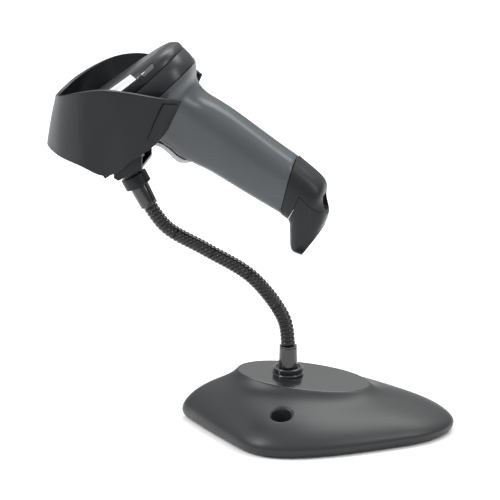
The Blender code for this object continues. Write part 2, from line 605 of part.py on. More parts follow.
def build_bracket(end, distance):
    """The hollow block under the cup's floor that the collar holds."""
    axis = end.to_3x3() @ Vector((0, 0, 1))
    across = end.to_3x3() @ Vector((1, 0, 0))
    seat = end.translation + distance * axis
    under = floor_frame()

    def on_seat(x):
        return (x, seat.z + (x - seat.x) * across.z / across.x)

    def under_floor(x, gap):
        along = under.to_3x3() @ Vector((1, 0, 0))
        down = under.to_3x3() @ Vector((0, 0, -1))
        start = under.translation + gap * down
        return (x, start.z + (x - start.x) * along.z / along.x)

    front, rear = BRACKET_FRONT, BRACKET_REAR
    outline = [on_seat(front + BRACKET_BEVEL_X), on_seat(rear), under_floor(rear, GAP), under_floor(front, GAP),
               (front, on_seat(front)[1] + BRACKET_BEVEL_Z)]
    block = add("cup_bracket", prism(outline, -BRACKET_HALF_WIDTH, BRACKET_HALF_WIDTH), "cup")
    wall = BRACKET_WALL
    low = [on_seat(front + wall), on_seat(rear + BRACKET_REAR_WALL)]
    high = [under_floor(rear + BRACKET_REAR_WALL, GAP + wall), under_floor(front + wall, GAP + wall)]
    hollow = [(x, z + 1.2 * wall) for x, z in low] + high
    inner = BRACKET_HALF_WIDTH - wall
    boolean(block, add("bracket_hollow", prism(hollow, -inner, inner), None))

    head = -(GAP + wall + GAP)
    top = FLOOR_THICKNESS - 0.6 * MM
    for side, name in ((-1, "cup_screw_right"), (1, "cup_screw_left")):
        place = under @ Matrix.Translation((CUP_SCREW_X, side * CUP_SCREW_Y, 0.0))
        screw = [(CUP_SCREW_HEAD, head - 1.8 * MM), (CUP_SCREW_HEAD, head), (CUP_SCREW_RADIUS, head),
                 (CUP_SCREW_RADIUS, top)]
        add(name, moved(turned(screw, 12), place), "steel")
        room = [(CUP_SCREW_RADIUS + GAP, head - 3 * MM), (CUP_SCREW_RADIUS + GAP, top + GAP)]
        cutter = add(name + "_room", moved(turned(room, 12), place), None)
        boolean(block, cutter)
        boolean(bpy.data.objects["cup_shell"], cutter)
    place = under @ Matrix.Translation((MAGNET_X, 0.0, 0.0))
    add("cup_magnet", moved(turned([(MAGNET_RADIUS, head - 2.5 * MM), (MAGNET_RADIUS, head)], 16), place), "steel")


# ---- scanner: housings ------------------------------------------------------------------------------------------
def rounded_ring(front, back, half_width, power, sides=32, back_power=None):
    """A superellipse across the line from front to back, which are (x, z) points in millimetres."""
    front = Vector((front[0] * MM, 0.0, front[1] * MM))
    back = Vector((back[0] * MM, 0.0, back[1] * MM))
    centre, arm = (front + back) / 2, (back - front) / 2
    ring = []
    for k in range(sides):
        a = 2 * math.pi * (k + 0.5) / sides
        c, s = math.cos(a), math.sin(a)
        n = back_power if back_power and c > 0 else power
        along = math.copysign(abs(c) ** (2 / n), c)
        across = math.copysign(abs(s) ** (2 / n), s)
        ring.append(centre + arm * along + Vector((0.0, half_width * across, 0.0)))
    return ring


def nose_x(z):
    """Where the sloping face of the nose lies at a height."""
    share = (HEAD_TOP - z) / (HEAD_TOP - HEAD_LIP)
    return NOSE_TOP + share * (NOSE_BOTTOM - NOSE_TOP)


def head_ring(z, draw_in, inner=0.0):
    """The head seen from above at a height, drawn in all round."""
    front = nose_x(z) + draw_in + inner
    back = HEAD_BACK - draw_in - inner
    ring = rounded_ring((front / MM, z / MM), (back / MM, z / MM), HEAD_HALF_WIDTH - draw_in - inner, 3.4, 40, 2.4)
    lift = max(0.0, (z - COVER_SEAM) / (HEAD_TOP - COVER_SEAM))
    return [p - Vector((0.0, 0.0, HEAD_FALL * lift * p.x)) for p in ring]


# heights of the whole head's rings, and how far each is drawn in
HEAD_LEVELS = [(HEAD_LIP, 3.0 * MM), (HEAD_LIP + 3 * MM, 0.0), (COVER_SEAM, 0.0), (HEAD_TOP - 5.5 * MM, 0.5 * MM),
               (HEAD_TOP - 2.0 * MM, 3.4 * MM), (HEAD_TOP - 0.5 * MM, 6.8 * MM), (HEAD_TOP, 11.0 * MM)]


def head_block(low, high, inner=0.0):
    """The head's form between two heights. Its top edges are chamfered and crowned."""
    levels = [(low, 0.0), (high, 0.0)]
    if high >= HEAD_TOP - inner:
        levels = [(low, 0.0), *((z - inner, draw_in) for z, draw_in in HEAD_LEVELS[3:])]
    return loft([head_ring(z, draw_in, inner) for z, draw_in in levels])


# stations of the lower housing: front (x, z), back (x, z), half width, and squareness at the front and the back
GRIP_STATIONS = [
    ((-54.2, -0.3), (32.4, -0.3), HEAD_HALF_WIDTH - 0.1 * MM, 3.4, 2.4),
    ((-50.0, -8.0), (29.6, -4.0), HEAD_HALF_WIDTH - 1.3 * MM, 3.2, 2.4),
    ((-43.5, -14.8), (25.4, -9.0), HEAD_HALF_WIDTH - 4.9 * MM, 3.0, 2.4),
    ((-22.0, -18.2), (23.8, -15.5), GRIP_HALF_WIDTH + 6.2 * MM, 2.8, 2.4),
    ((-17.4, -30.0), (24.6, -22.0), GRIP_HALF_WIDTH + 2.8 * MM, 2.7, 2.5),
    ((-16.6, -39.5), (27.6, -31.0), GRIP_HALF_WIDTH + 0.9 * MM, 2.6, 2.6),
    ((-12.2, -50.0), (30.4, -41.0), GRIP_HALF_WIDTH, 2.6, 2.6),
    ((-7.4, -61.5), (33.0, -53.0), GRIP_HALF_WIDTH - 0.2 * MM, 2.6, 2.6),
    ((-0.4, -84.0), (37.4, -74.5), GRIP_HALF_WIDTH - 0.1 * MM, 2.6, 2.6),
    ((8.8, -112.4), (41.2, -91.2), GRIP_HALF_WIDTH, 2.6, 2.6)]
UNDER_NOSE = 6  # stations whose front slopes under the nose
BUTT_STATIONS = [
    ((8.4, -113.0), (41.9, -91.6), GRIP_HALF_WIDTH, 2.6),
    ((9.4, -119.0), (44.0, -114.6), GRIP_HALF_WIDTH - 0.2 * MM, 2.8),
    ((4.6, -125.0), (37.0, -124.0), GRIP_HALF_WIDTH - 0.8 * MM, 2.8),
    ((-3.0, -134.5), (31.6, -132.6), GRIP_HALF_WIDTH - 2.4 * MM, 2.8),
    ((-0.8, -141.8), (23.5, -137.4), GRIP_HALF_WIDTH - 5.2 * MM, 2.6)]
FOOT_OUTLINE = [(29.2, -110.4), (30.4, -126.0), (36.0, -134.0), (24.0, -146.0), (-8.0, -148.0), (-8.0, -126.0),
                (10.2, -117.8), (18.6, -115.4)]


def grip_rings(inner=0.0, extend=False):
    """Rings of the lower housing. The inner form runs on past both ends."""
    drawn = inner / MM
    rings = []
    for i, ((fx, fz), (bx, bz), half, power, back_power) in enumerate(GRIP_STATIONS):
        run = Vector((bx - fx, bz - fz)).normalized()
        lift = 0.9 * drawn if i < UNDER_NOSE else 0.0
        front = (fx + drawn * run.x, fz + drawn * run.y + lift)
        back = (bx - drawn * run.x, bz - drawn * run.y)
        rings.append(rounded_ring(front, back, half - inner, power, 32, back_power))
    if extend:
        top = [p + Vector((0, 0, 4 * MM)) for p in rings[0]]
        tail = [p + Vector((1.2 * MM, 0, -4 * MM)) for p in rings[-1]]
        rings = [top, *rings, tail]
    return rings


def nose_frame():
    """Matrix of the nose: X into the head, Z up its sloping face."""
    slope = math.atan2(NOSE_BOTTOM - NOSE_TOP, HEAD_TOP - HEAD_LIP)
    return Matrix.Translation((NOSE_TOP, 0.0, HEAD_TOP)) @ Matrix.Rotation(-slope, 4, "Y")


def nose_cutter(frame, name, depth):
    """Everything in front of a plane parallel to the nose's face."""
    block = box((-90 * MM, -60 * MM, -90 * MM), (0.0, 60 * MM, 60 * MM))
    turn = Matrix.Translation((depth, 0.0, 0.0)) @ nose_frame()
    return add(name, moved(block, turn), None, parent=frame)


def build_head(frame):
    """The top cover, the middle housing and the side lenses."""
    cut = nose_cutter(frame, "nose_cut", BEZEL_DEPTH + GAP)
    half = GAP / 2

    cover = add("head_top_cover", head_block(COVER_SEAM + half, HEAD_TOP), "cover", parent=frame)
    hollow = head_block(COVER_SEAM - 5 * MM, HEAD_TOP, SHELL_WALL)
    boolean(cover, add("cover_hollow", hollow, None, parent=frame))
    boolean(cover, cut)

    middle = add("head_mid_housing", head_block(GRIP_SEAM + half, COVER_SEAM - half), "cover", parent=frame)
    hollow = loft([head_ring(z, 0.0, SHELL_WALL) for z in (GRIP_SEAM - 5 * MM, COVER_SEAM + 5 * MM)])
    boolean(middle, add("middle_hollow", hollow, None, parent=frame))
    boolean(middle, cut)

    skin = loft([head_ring(z, draw_in - LENS_PROUD) for z, draw_in in HEAD_LEVELS])
    skin = add("lens_skin", skin, None, parent=frame)
    core = head_block(COVER_SEAM - 5 * MM, HEAD_TOP, SHELL_WALL + LENS_INSIDE)
    core = add("lens_core", core, None, parent=frame)
    for side in (-1, 1):
        name = "side_lens_right" if side < 0 else "side_lens_left"
        lens = add(name, lens_block(side, 0.0), "light", parent=frame)
        boolean(lens, skin, "INTERSECT")
        boolean(lens, core)
        boolean(cover, add(name + "_room", lens_block(side, GAP), None, parent=frame))


def lens_block(side, margin):
    """The side lens's outline, run through the cover's wall."""
    x, z = LENS_PLACE[0] * MM, LENS_PLACE[1] * MM
    long, high = LENS_LENGTH / 2 + margin, LENS_HEIGHT / 2 + margin
    near, far = sorted((side * HEAD_HALF_WIDTH / 2, side * HEAD_HALF_WIDTH * 1.2))
    block = box((x - long, near, z - high), (x + long, far, z + high))
    corners = [e for e in block.edges if abs(e.verts[0].co.y - e.verts[1].co.y) > 1 * MM]
    bmesh.ops.bevel(block, geom=corners, offset=high * 0.6, segments=3, profile=0.5, affect="EDGES")
    return block


def build_nose(frame):
    """The bezel round the mouth, with the window set back in it."""
    bezel = add("nose_bezel", loft([head_ring(z, draw_in) for z, draw_in in HEAD_LEVELS]), "cup", parent=frame)
    boolean(bezel, nose_cutter(frame, "bezel_keep", BEZEL_DEPTH), "INTERSECT")
    turn = nose_frame()
    wide = MOUTH_HALF_WIDTH
    mouth = box((-9 * MM, -wide, MOUTH_LOW), (BEZEL_DEPTH + 9 * MM, wide, MOUTH_TOP))
    boolean(bezel, add("mouth", moved(bevelled(mouth, MOUTH_CORNER, 3), turn), None, parent=frame))
    pane = box((WINDOW_PLACE, -wide + GAP, MOUTH_LOW + GAP),
               (WINDOW_PLACE + WINDOW_THICKNESS, wide - GAP, MOUTH_TOP - GAP))
    corners = [e for e in pane.edges if abs(e.verts[0].co.x - e.verts[1].co.x) > WINDOW_THICKNESS / 2]
    bmesh.ops.bevel(pane, geom=corners, offset=MOUTH_CORNER, segments=3, profile=0.5, affect="EDGES")
    add("scan_window", moved(pane, turn), "glass", parent=frame)


def build_grip(frame):
    """Both halves of the lower housing, split on the plane of symmetry."""
    cut = nose_cutter(frame, "grip_nose_cut", BEZEL_DEPTH + GAP)
    hollow = add("grip_hollow", loft(grip_rings(SHELL_WALL, extend=True)), None, parent=frame)
    for side, name in ((-1, "grip_half_right"), (1, "grip_half_left")):
        half = add(name, loft(grip_rings()), "grip", parent=frame)
        boolean(half, hollow)
        boolean(half, cut)
        low, high = sorted((side * GAP / 2, side * 60 * MM))
        keep = box((-90 * MM, low, -160 * MM), (90 * MM, high, 60 * MM))
        boolean(half, add(name + "_keep", keep, None, parent=frame), "INTERSECT")


def build_trigger(frame):
    """The blade in front of the grip, which turns on a pin at its top."""
    pin_x, pin_z = TRIGGER_PIN[0] * MM, TRIGGER_PIN[1] * MM
    place = (pin_x, 0.0, pin_z)

    def from_pin(points):
        return [(x * MM - pin_x, z * MM - pin_z) for x, z in points]

    front = smooth_curve([(-24.2, -23.0, 0.0), (-21.8, -26.6, 0.0), (-20.6, -32.0, 0.0), (-20.3, -38.0, 0.0),
                          (-19.0, -42.8, 0.0), (-15.4, -46.4, 0.0), (-11.6, -48.6, 0.0)], 2)
    back = [(-12.0, -46.0), (-15.0, -42.8), (-16.6, -38.0), (-17.2, -29.0), (-20.4, -23.0)]
    outline = from_pin([(p.x, p.y) for p in front] + back)
    blade = bevelled(prism(outline, -TRIGGER_HALF_WIDTH, TRIGGER_HALF_WIDTH), 0.6 * MM, 1)
    trigger = add("trigger", blade, "cover", parent=frame, place=place)
    arm_half = TRIGGER_HALF_WIDTH / 2
    arm = from_pin([(-21.0, -28.0), (-18.4, -28.4), (-16.6, -24.4), (-13.2, -23.6), (-12.3, -21.0), (-14.2, -18.8),
                    (-17.0, -19.6), (-21.4, -23.6)])
    arm = add("trigger_arm", prism(arm, -arm_half, arm_half), None, parent=frame, place=place)
    boolean(trigger, arm, "UNION")

    def rod(name, radius, half, style=None):
        across = Matrix.Rotation(math.radians(90), 4, "X")
        form = moved(turned([(radius, -half), (radius, half)], 16), across)
        return add(name, form, style, parent=frame, place=place)

    boolean(trigger, rod("trigger_bore", PIN_RADIUS + RUNNING, arm_half + 1 * MM))
    pin_half = arm_half + 3 * MM
    rod("trigger_pin", PIN_RADIUS, pin_half, "steel")

    def hollow(name, span, half):
        (x_low, x_high), (z_low, z_high) = span
        form = box((x_low * MM, -half, z_low * MM), (x_high * MM, half, z_high * MM))
        return add(name, form, None, parent=frame)

    slot = hollow("arm_slot", ARM_SLOT, arm_half + GAP)
    room = hollow("blade_room", BLADE_ROOM, TRIGGER_HALF_WIDTH + GAP)
    boolean(room, hollow("tail_room", TAIL_ROOM, TRIGGER_HALF_WIDTH + GAP), "UNION")
    pocket = rod("pin_pocket", PIN_RADIUS + GAP / 2, pin_half + GAP)
    for name in ("grip_half_right", "grip_half_left"):
        for cutter in (slot, room, pocket):
            boolean(bpy.data.objects[name], cutter)


def build_butt(frame):
    """End cap and foot at the bottom of the grip."""
    def form():
        return loft([rounded_ring(front, back, half, power) for front, back, half, power in BUTT_STATIONS])

    outline = [(x * MM, z * MM) for x, z in FOOT_OUTLINE]
    cap = add("end_cap", form(), "cup", parent=frame)
    groove = prism(offset_outline(outline, -1.5 * GAP), -40 * MM, 40 * MM)
    boolean(cap, add("foot_groove", groove, None, parent=frame))
    foot = add("butt_foot", form(), "cup", parent=frame)
    boolean(foot, add("foot_keep", prism(outline, -40 * MM, 40 * MM), None, parent=frame), "INTERSECT")
    build_port(frame, (cap, foot))


def build_port(frame, around):
    """The socket in the end cap that takes the cable's plug."""
    turn = Matrix.Translation((PORT_PLACE[0] * MM, 0.0, PORT_PLACE[1] * MM)) @ Matrix.Rotation(-PORT_LEAN, 4, "Y")

    def block(margin, low, high):
        half_width, half_height = PORT_WIDTH / 2 + margin, PORT_HEIGHT / 2 + margin
        return moved(box((-half_height, -half_width, low), (half_height, half_width, high)), turn)

    room = add("port_room", block(PORT_WALL + GAP, -PORT_ROOM, PORT_DEPTH + GAP), None, parent=frame)
    for piece in around:
        boolean(piece, room)
    port = add("cable_port", block(PORT_WALL, -PORT_PROUD, PORT_DEPTH), "cover", parent=frame)
    boolean(port, add("port_hole", block(0.0, -PORT_ROOM, PORT_DEPTH - PORT_WALL), None, parent=frame))


def offset_outline(outline, distance):
    """Offsets a plane outline. A negative distance grows a clockwise one."""
    points = np.array(outline)
    area = np.sum(points[:, 0] * np.roll(points[:, 1], -1) - points[:, 1] * np.roll(points[:, 0], -1))
    sign = 1 if area > 0 else -1
    before, after = points - np.roll(points, 1, axis=0), np.roll(points, -1, axis=0) - points
    out = []
    for p, a, b in zip(points, before, after):
        a, b = a / np.linalg.norm(a), b / np.linalg.norm(b)
        na, nb = sign * np.array([-a[1], a[0]]), sign * np.array([-b[1], b[0]])
        middle = (na + nb) / max(1e-9, 1 + na @ nb)
        out.append(tuple(p + distance * middle))
    return out


def build_inside(frame):
    """The scan engine, its lenses and lamps, the board and the beeper."""
    turn = nose_frame()
    engine_x = BEZEL_DEPTH + 1.5 * MM
    low, high = -27 * MM, -11 * MM
    body = bevelled(box((engine_x + 3 * MM, -14 * MM, low), (engine_x + 17 * MM, 14 * MM, high)), 0.8 * MM, 1)
    add("scan_engine", moved(body, turn), "steel", parent=frame)
    middle = (low + high) / 2
    ahead = Matrix.Rotation(math.radians(-90), 4, "Y")
    lens = turned([(4.2 * MM, GAP), (4.2 * MM, 2.0 * MM), (3.2 * MM, 2.6 * MM)], 16)
    place = Matrix.Translation((engine_x + 3 * MM, 0.0, middle)) @ ahead
    add("camera_lens", moved(lens, turn @ place), "glass", parent=frame)
    for name, y, radius in (("aimer_lens", 9.5 * MM, 2.0 * MM), ("lamp_right", -17.5 * MM, 2.6 * MM),
                            ("lamp_left", 17.5 * MM, 2.6 * MM)):
        bead = turned([(radius, GAP), (radius, 1.4 * MM), (radius * 0.6, 2.2 * MM)], 12)
        place = Matrix.Translation((engine_x + 3 * MM, y, middle)) @ ahead
        add(name, moved(bead, turn @ place), "light", parent=frame)
    for name, side in (("lamp_board_right", -1), ("lamp_board_left", 1)):
        y_low, y_high = sorted((side * 14.4 * MM, side * 21.0 * MM))
        plate = box((engine_x + 3 * MM, y_low, low + 2 * MM), (engine_x + 4.6 * MM, y_high, high - 2 * MM))
        add(name, moved(plate, turn), "board", parent=frame)
    wide = 0.657 * HEAD_HALF_WIDTH
    board = box((-14 * MM, -wide, 4.2 * MM), (20 * MM, wide, 5.8 * MM))
    add("main_board", board, "board", parent=frame)
    beeper = turned([(5.5 * MM, 0.0), (5.5 * MM, 4.5 * MM)], 20)
    add("beeper", beeper, "rubber", parent=frame, place=(14 * MM, 12 * MM, 5.8 * MM + GAP))


def carry_cup(stand):
    """Hangs the cup and what is fastened to it on an empty that stands on the neck's last joint."""
    joint = neck_frame(neck_joint(NECK_JOINTS)).translation
    carrier = frame_at("cup_frame", joint, stand)
    for name in CUP_PIECES:
        piece = bpy.data.objects[name]
        piece.parent = carrier
        piece.matrix_parent_inverse = Matrix.Translation(-joint)


def main():
    clear_scene()
    length_middle = (BASE_REAR + CUP_EDGE[-1][0] * MM) / 2
    stand = frame_at("stand_frame", (-length_middle, 0.0, 0.0))
    build_base()
    build_neck_foot()
    build_neck()
    end, distance = build_neck_top()
    build_cup()
    build_bracket(end, distance)
    carry_cup(stand)

    scanner = frame_at("scanner_frame", (SCANNER_PLACE[0] * MM, 0.0, SCANNER_PLACE[1] * MM), stand)
    scanner.rotation_euler = (0.0, -HEAD_TILT, 0.0)
    build_head(scanner)
    build_nose(scanner)
    build_inside(scanner)
    build_grip(scanner)
    build_trigger(scanner)
    build_butt(scanner)


main()
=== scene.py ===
"""The looks of a handheld code scanner and its gooseneck desk stand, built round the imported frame.

Every piece is made in metres in the frame's own axes: +Z up, the cup towards -X, the scanner's grip
towards +X, and the plane y = 0 as the plane of symmetry. The stand is laid out from the axis of the neck's
foot. The scanner is laid out in its own axes: +X from the nose to the back of the head, +Z to the top of the
head, the grip along -Z.
"""

from __future__ import annotations

import logging
import math
from dataclasses import dataclass, field
from enum import Enum
from typing import Any, Sequence

import bmesh
import bpy
import numpy as np
from mathutils import Matrix, Vector


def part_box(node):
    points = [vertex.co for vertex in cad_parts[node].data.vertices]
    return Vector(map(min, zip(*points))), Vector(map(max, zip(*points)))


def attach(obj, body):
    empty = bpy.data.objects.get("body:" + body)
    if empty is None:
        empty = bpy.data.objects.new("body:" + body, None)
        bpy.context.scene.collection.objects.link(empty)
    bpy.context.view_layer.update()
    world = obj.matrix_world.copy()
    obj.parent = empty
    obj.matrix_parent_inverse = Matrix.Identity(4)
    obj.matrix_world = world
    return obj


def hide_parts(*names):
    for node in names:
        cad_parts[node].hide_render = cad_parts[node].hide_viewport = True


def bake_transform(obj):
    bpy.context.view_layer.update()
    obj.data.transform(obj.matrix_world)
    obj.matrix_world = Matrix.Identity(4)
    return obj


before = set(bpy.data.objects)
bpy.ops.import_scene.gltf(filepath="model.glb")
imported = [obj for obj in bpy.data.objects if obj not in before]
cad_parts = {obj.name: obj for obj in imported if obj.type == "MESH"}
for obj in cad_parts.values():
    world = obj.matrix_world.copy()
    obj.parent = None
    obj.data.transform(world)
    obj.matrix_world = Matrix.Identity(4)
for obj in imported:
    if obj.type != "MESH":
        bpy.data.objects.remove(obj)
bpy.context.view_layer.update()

MM = 0.001
GAP = 0.3 * MM  # between faces that touch
LOG = logging.getLogger("scanner")
SIDES = ((-1, "right"), (1, "left"))

Colour = tuple[float, float, float]
Points = Sequence[Sequence[float]]


class Body(Enum):
    """The bodies that pieces ride on."""

    BASE = "base"
    CUP = "cup"
    SCANNER = "scanner"
    TRIGGER = "trigger"


# ---- shader graphs -------------------------------------------------------------------
class Socket:
    """A shader node's output, on which arithmetic adds Math nodes."""

    def __init__(self, graph: "Graph", output: bpy.types.NodeSocket) -> None:
        """Args: graph: the tree that the output is in. output: the node's output socket."""
        self.graph = graph
        self.output = output

    def maths(self, operation: str, *values: Any) -> "Socket":
        """Adds one Math node.

        Args:
            operation: the Math node's operation.
            values: its inputs in order, numbers or sockets.

        Returns:
            The node's result.
        """
        return self.graph.node("ShaderNodeMath", {"operation": operation}, dict(enumerate(values)))

    def __add__(self, other: Any) -> "Socket":
        """Sum."""
        return self.maths("ADD", self, other)

    def __radd__(self, other: Any) -> "Socket":
        """Sum with a number in front."""
        return self.maths("ADD", other, self)

    def __sub__(self, other: Any) -> "Socket":
        """Difference."""
        return self.maths("SUBTRACT", self, other)

    def __rsub__(self, other: Any) -> "Socket":
        """Difference with a number in front."""
        return self.maths("SUBTRACT", other, self)

    def __mul__(self, other: Any) -> "Socket":
        """Product."""
        return self.maths("MULTIPLY", self, other)

    def above(self, low: float, high: float) -> "Socket":
        """A smooth mask: 0 under low and 1 over high."""
        settings = {"interpolation_type": "SMOOTHSTEP"}
        values = {"Value": self, "From Min": low, "From Max": high, "To Min": 0.0, "To Max": 1.0}
        return self.graph.node("ShaderNodeMapRange", settings, values, "Result")


class Graph:
    """A material's node tree, with its Principled shader."""

    def __init__(self, material: bpy.types.Material) -> None:
        """Args: material: the material whose nodes are used."""
        material.use_nodes = True
        self.tree = material.node_tree
        self.shader = self.tree.nodes["Principled BSDF"]

    def node(self, kind: str, settings: dict[str, Any], values: dict[Any, Any], output: Any = 0) -> Socket:
        """Adds a node.

        Args:
            kind: the node's type.
            settings: its properties, set first. "stops" holds a ramp's positions and colours.
            values: values or links of its inputs, by name or number.
            output: the name or number of the output that is wanted.

        Returns:
            That output, wrapped.
        """
        node = self.tree.nodes.new(kind)
        for key, value in settings.items():
            if key == "stops":
                self._stops(node.color_ramp, value)
            else:
                setattr(node, key, value)
        for key, value in values.items():
            self.feed(node.inputs[key], value)
        return Socket(self, node.outputs[output])

    @staticmethod
    def _stops(ramp: bpy.types.ColorRamp, stops: Sequence[tuple[float, Colour]]) -> None:
        """Sets a ramp's stops. Args: ramp: the ramp. stops: positions and colours."""
        while len(ramp.elements) < len(stops):
            ramp.elements.new(1.0)
        for element, (place, colour) in zip(ramp.elements, stops):
            element.position = place
            element.color = (*colour, 1.0)

    def feed(self, target: bpy.types.NodeSocket, value: Any) -> None:
        """Links a socket to an input, or sets its value. Args: target: the input. value: what it gets."""
        if isinstance(value, Socket):
            self.tree.links.new(value.output, target)
        else:
            target.default_value = value

    def shade(self, **values: Any) -> None:
        """Sets the Principled shader's inputs, named with underscores for spaces."""
        for key, value in values.items():
            self.feed(self.shader.inputs[key.replace("_", " ")], value)

    def place(self) -> Socket:
        """The point on the piece, in the piece's own axes."""
        return self.node("ShaderNodeTexCoord", {}, {}, "Object")

    def noise(self, size: float, detail: float = 3.0, roughness: float = 0.5) -> Socket:
        """Cloudy noise from 0 to 1.

        Args: size: of one feature, in metres. detail, roughness: its octaves.
        """
        values = {"Vector": self.place(), "Scale": 1.0 / size, "Detail": detail, "Roughness": roughness}
        return self.node("ShaderNodeTexNoise", {}, values, 0)

    def cells(self, size: float) -> Socket:
        """Distance to the nearest of many scattered points. Args: size: the usual spacing, in metres."""
        values = {"Vector": self.place(), "Scale": 1.0 / size}
        return self.node("ShaderNodeTexVoronoi", {}, values, "Distance")

    def stretched(self, size: float, stretch: Sequence[float]) -> Socket:
        """Noise drawn out along an axis. Args: size: of a feature. stretch: scale along each axis."""
        settings = {"operation": "MULTIPLY"}
        place = self.node("ShaderNodeVectorMath", settings, {0: self.place(), 1: tuple(stretch)})
        values = {"Vector": place, "Scale": 1.0 / size, "Detail": 2.0}
        return self.node("ShaderNodeTexNoise", {}, values, 0)

    def bump(self, height: Socket, depth: float, strength: float = 1.0) -> Socket:
        """A normal from a height. Args: height: 0 to 1. depth: in metres. strength: share."""
        values = {"Height": height, "Distance": depth, "Strength": strength}
        return self.node("ShaderNodeBump", {}, values)

    def mixed(self, share: Socket, low: Colour, high: Colour) -> Socket:
        """A colour between two. Args: share: 0 to 1. low, high: the two colours."""
        return self.node("ShaderNodeValToRGB", {"stops": [(0.0, low), (1.0, high)]}, {"Fac": share}, "Color")


def shade_of(colour: Colour, factor: float) -> Colour:
    """A colour made lighter or darker.

    Args: colour: the colour. factor: the share.
    Returns: the new colour.
    """
    return tuple(min(1.0, c * factor) for c in colour)


# ---- finishes ------------------------------------------------------------------------
@dataclass(frozen=True)
class Moulded:
    """Injection-moulded plastic with a spark-eroded texture."""

    slot: str
    colour: Colour
    roughness: float = 0.5
    grain: float = 0.45 * MM
    relief: float = 0.02 * MM
    mottle: float = 0.05
    specular: float = 0.5
    coat: float = 0.0

    def paint(self, graph: Graph) -> None:
        """Fills the graph. Args: graph: the material's nodes."""
        cloud = graph.noise(22 * MM, 2.0)
        fine = graph.noise(self.grain, 2.0, 0.6)
        pits = graph.cells(self.grain * 1.7)
        tone = cloud * 0.6 + fine * 0.4
        low, high = shade_of(self.colour, 1 - self.mottle), shade_of(self.colour, 1 + self.mottle)
        graph.shade(Base_Color=graph.mixed(tone.above(0.3, 0.7), low, high))
        graph.shade(Roughness=self.roughness + (fine - 0.5) * 0.10 + (cloud - 0.5) * 0.05)
        graph.shade(Normal=graph.bump(fine * 0.6 + pits * 0.4, self.relief, 0.8))
        graph.shade(Specular_IOR_Level=self.specular, Coat_Roughness=0.15)
        if self.coat:
            graph.shade(Coat_Weight=self.coat)


@dataclass(frozen=True)
class BasePlastic(Moulded):
    """The base's plastic: satin on its flanks and polished on the flat."""

    flat_height: float = 34 * MM
    flat_fall: float = 0.0875
    axis_x: float = 0.0

    def paint(self, graph: Graph) -> None:
        """Fills the graph. Args: graph: the material's nodes."""
        parts = [graph.node("ShaderNodeSeparateXYZ", {}, {0: graph.place()}, axis) for axis in ("X", "Z")]
        rise = parts[1] + (parts[0] - self.axis_x) * self.flat_fall - self.flat_height
        polish = rise.above(-0.16 * MM, -0.04 * MM)
        cloud = graph.noise(30 * MM, 2.0)
        fine = graph.noise(self.grain, 2.0, 0.6)
        low, high = shade_of(self.colour, 1 - self.mottle), shade_of(self.colour, 1 + self.mottle)
        graph.shade(Base_Color=graph.mixed((cloud * 0.6 + fine * 0.4).above(0.3, 0.7), low, high))
        satin = self.roughness + (fine - 0.5) * 0.10 + (cloud - 0.5) * 0.05
        graph.shade(Roughness=satin * (1 - polish) + polish * (0.17 + (cloud - 0.5) * 0.06))
        graph.shade(Normal=graph.bump(fine * (1 - polish * 0.92), self.relief, 0.8))
        graph.shade(Specular_IOR_Level=self.specular, Coat_Weight=polish * 0.45, Coat_Roughness=0.12)


@dataclass(frozen=True)
class Lacquer:
    """Glossy black lacquer or plating on turned metal, with faint turning marks."""

    slot: str
    colour: Colour
    roughness: float = 0.16
    metallic: float = 0.4
    stretch: tuple[float, float, float] = (0.06, 0.06, 1.0)
    specular: float = 0.45
    coat: float = 0.6

    def paint(self, graph: Graph) -> None:
        """Fills the graph. Args: graph: the material's nodes."""
        lines = graph.stretched(0.25 * MM, self.stretch)
        cloud = graph.noise(6 * MM, 3.0)
        graph.shade(Base_Color=graph.mixed(cloud, shade_of(self.colour, 0.8), shade_of(self.colour, 1.3)))
        graph.shade(Roughness=self.roughness + (cloud - 0.5) * 0.08 + (lines - 0.5) * 0.06)
        graph.shade(Metallic=self.metallic, Specular_IOR_Level=self.specular)
        graph.shade(Coat_Weight=self.coat, Coat_Roughness=0.06)
        graph.shade(Normal=graph.bump(lines, 0.006 * MM, 0.6))


@dataclass(frozen=True)
class Steel:
    """Bare or plated steel, drawn or brushed."""

    slot: str
    colour: Colour
    roughness: float = 0.3
    stretch: tuple[float, float, float] = (1.0, 1.0, 0.05)

    def paint(self, graph: Graph) -> None:
        """Fills the graph. Args: graph: the material's nodes."""
        lines = graph.stretched(0.3 * MM, self.stretch)
        stain = graph.noise(8 * MM, 4.0, 0.6)
        graph.shade(Base_Color=graph.mixed(stain, shade_of(self.colour, 0.75), shade_of(self.colour, 1.2)))
        graph.shade(Roughness=self.roughness + (lines - 0.5) * 0.2 + (stain - 0.5) * 0.12)
        graph.shade(Metallic=1.0, Normal=graph.bump(lines, 0.01 * MM, 0.5))


@dataclass(frozen=True)
class Rubber:
    """Matt black rubber with a fine open grain."""

    slot: str
    colour: Colour = (0.025, 0.025, 0.027)

    def paint(self, graph: Graph) -> None:
        """Fills the graph. Args: graph: the material's nodes."""
        fine = graph.noise(0.5 * MM, 3.0, 0.7)
        dust = graph.noise(5 * MM, 4.0, 0.6)
        graph.shade(Base_Color=graph.mixed(dust.above(0.4, 0.8), self.colour, shade_of(self.colour, 1.9)))
        graph.shade(Roughness=0.78 + (fine - 0.5) * 0.2)
        graph.shade(Normal=graph.bump(fine, 0.05 * MM), Specular_IOR_Level=0.3)


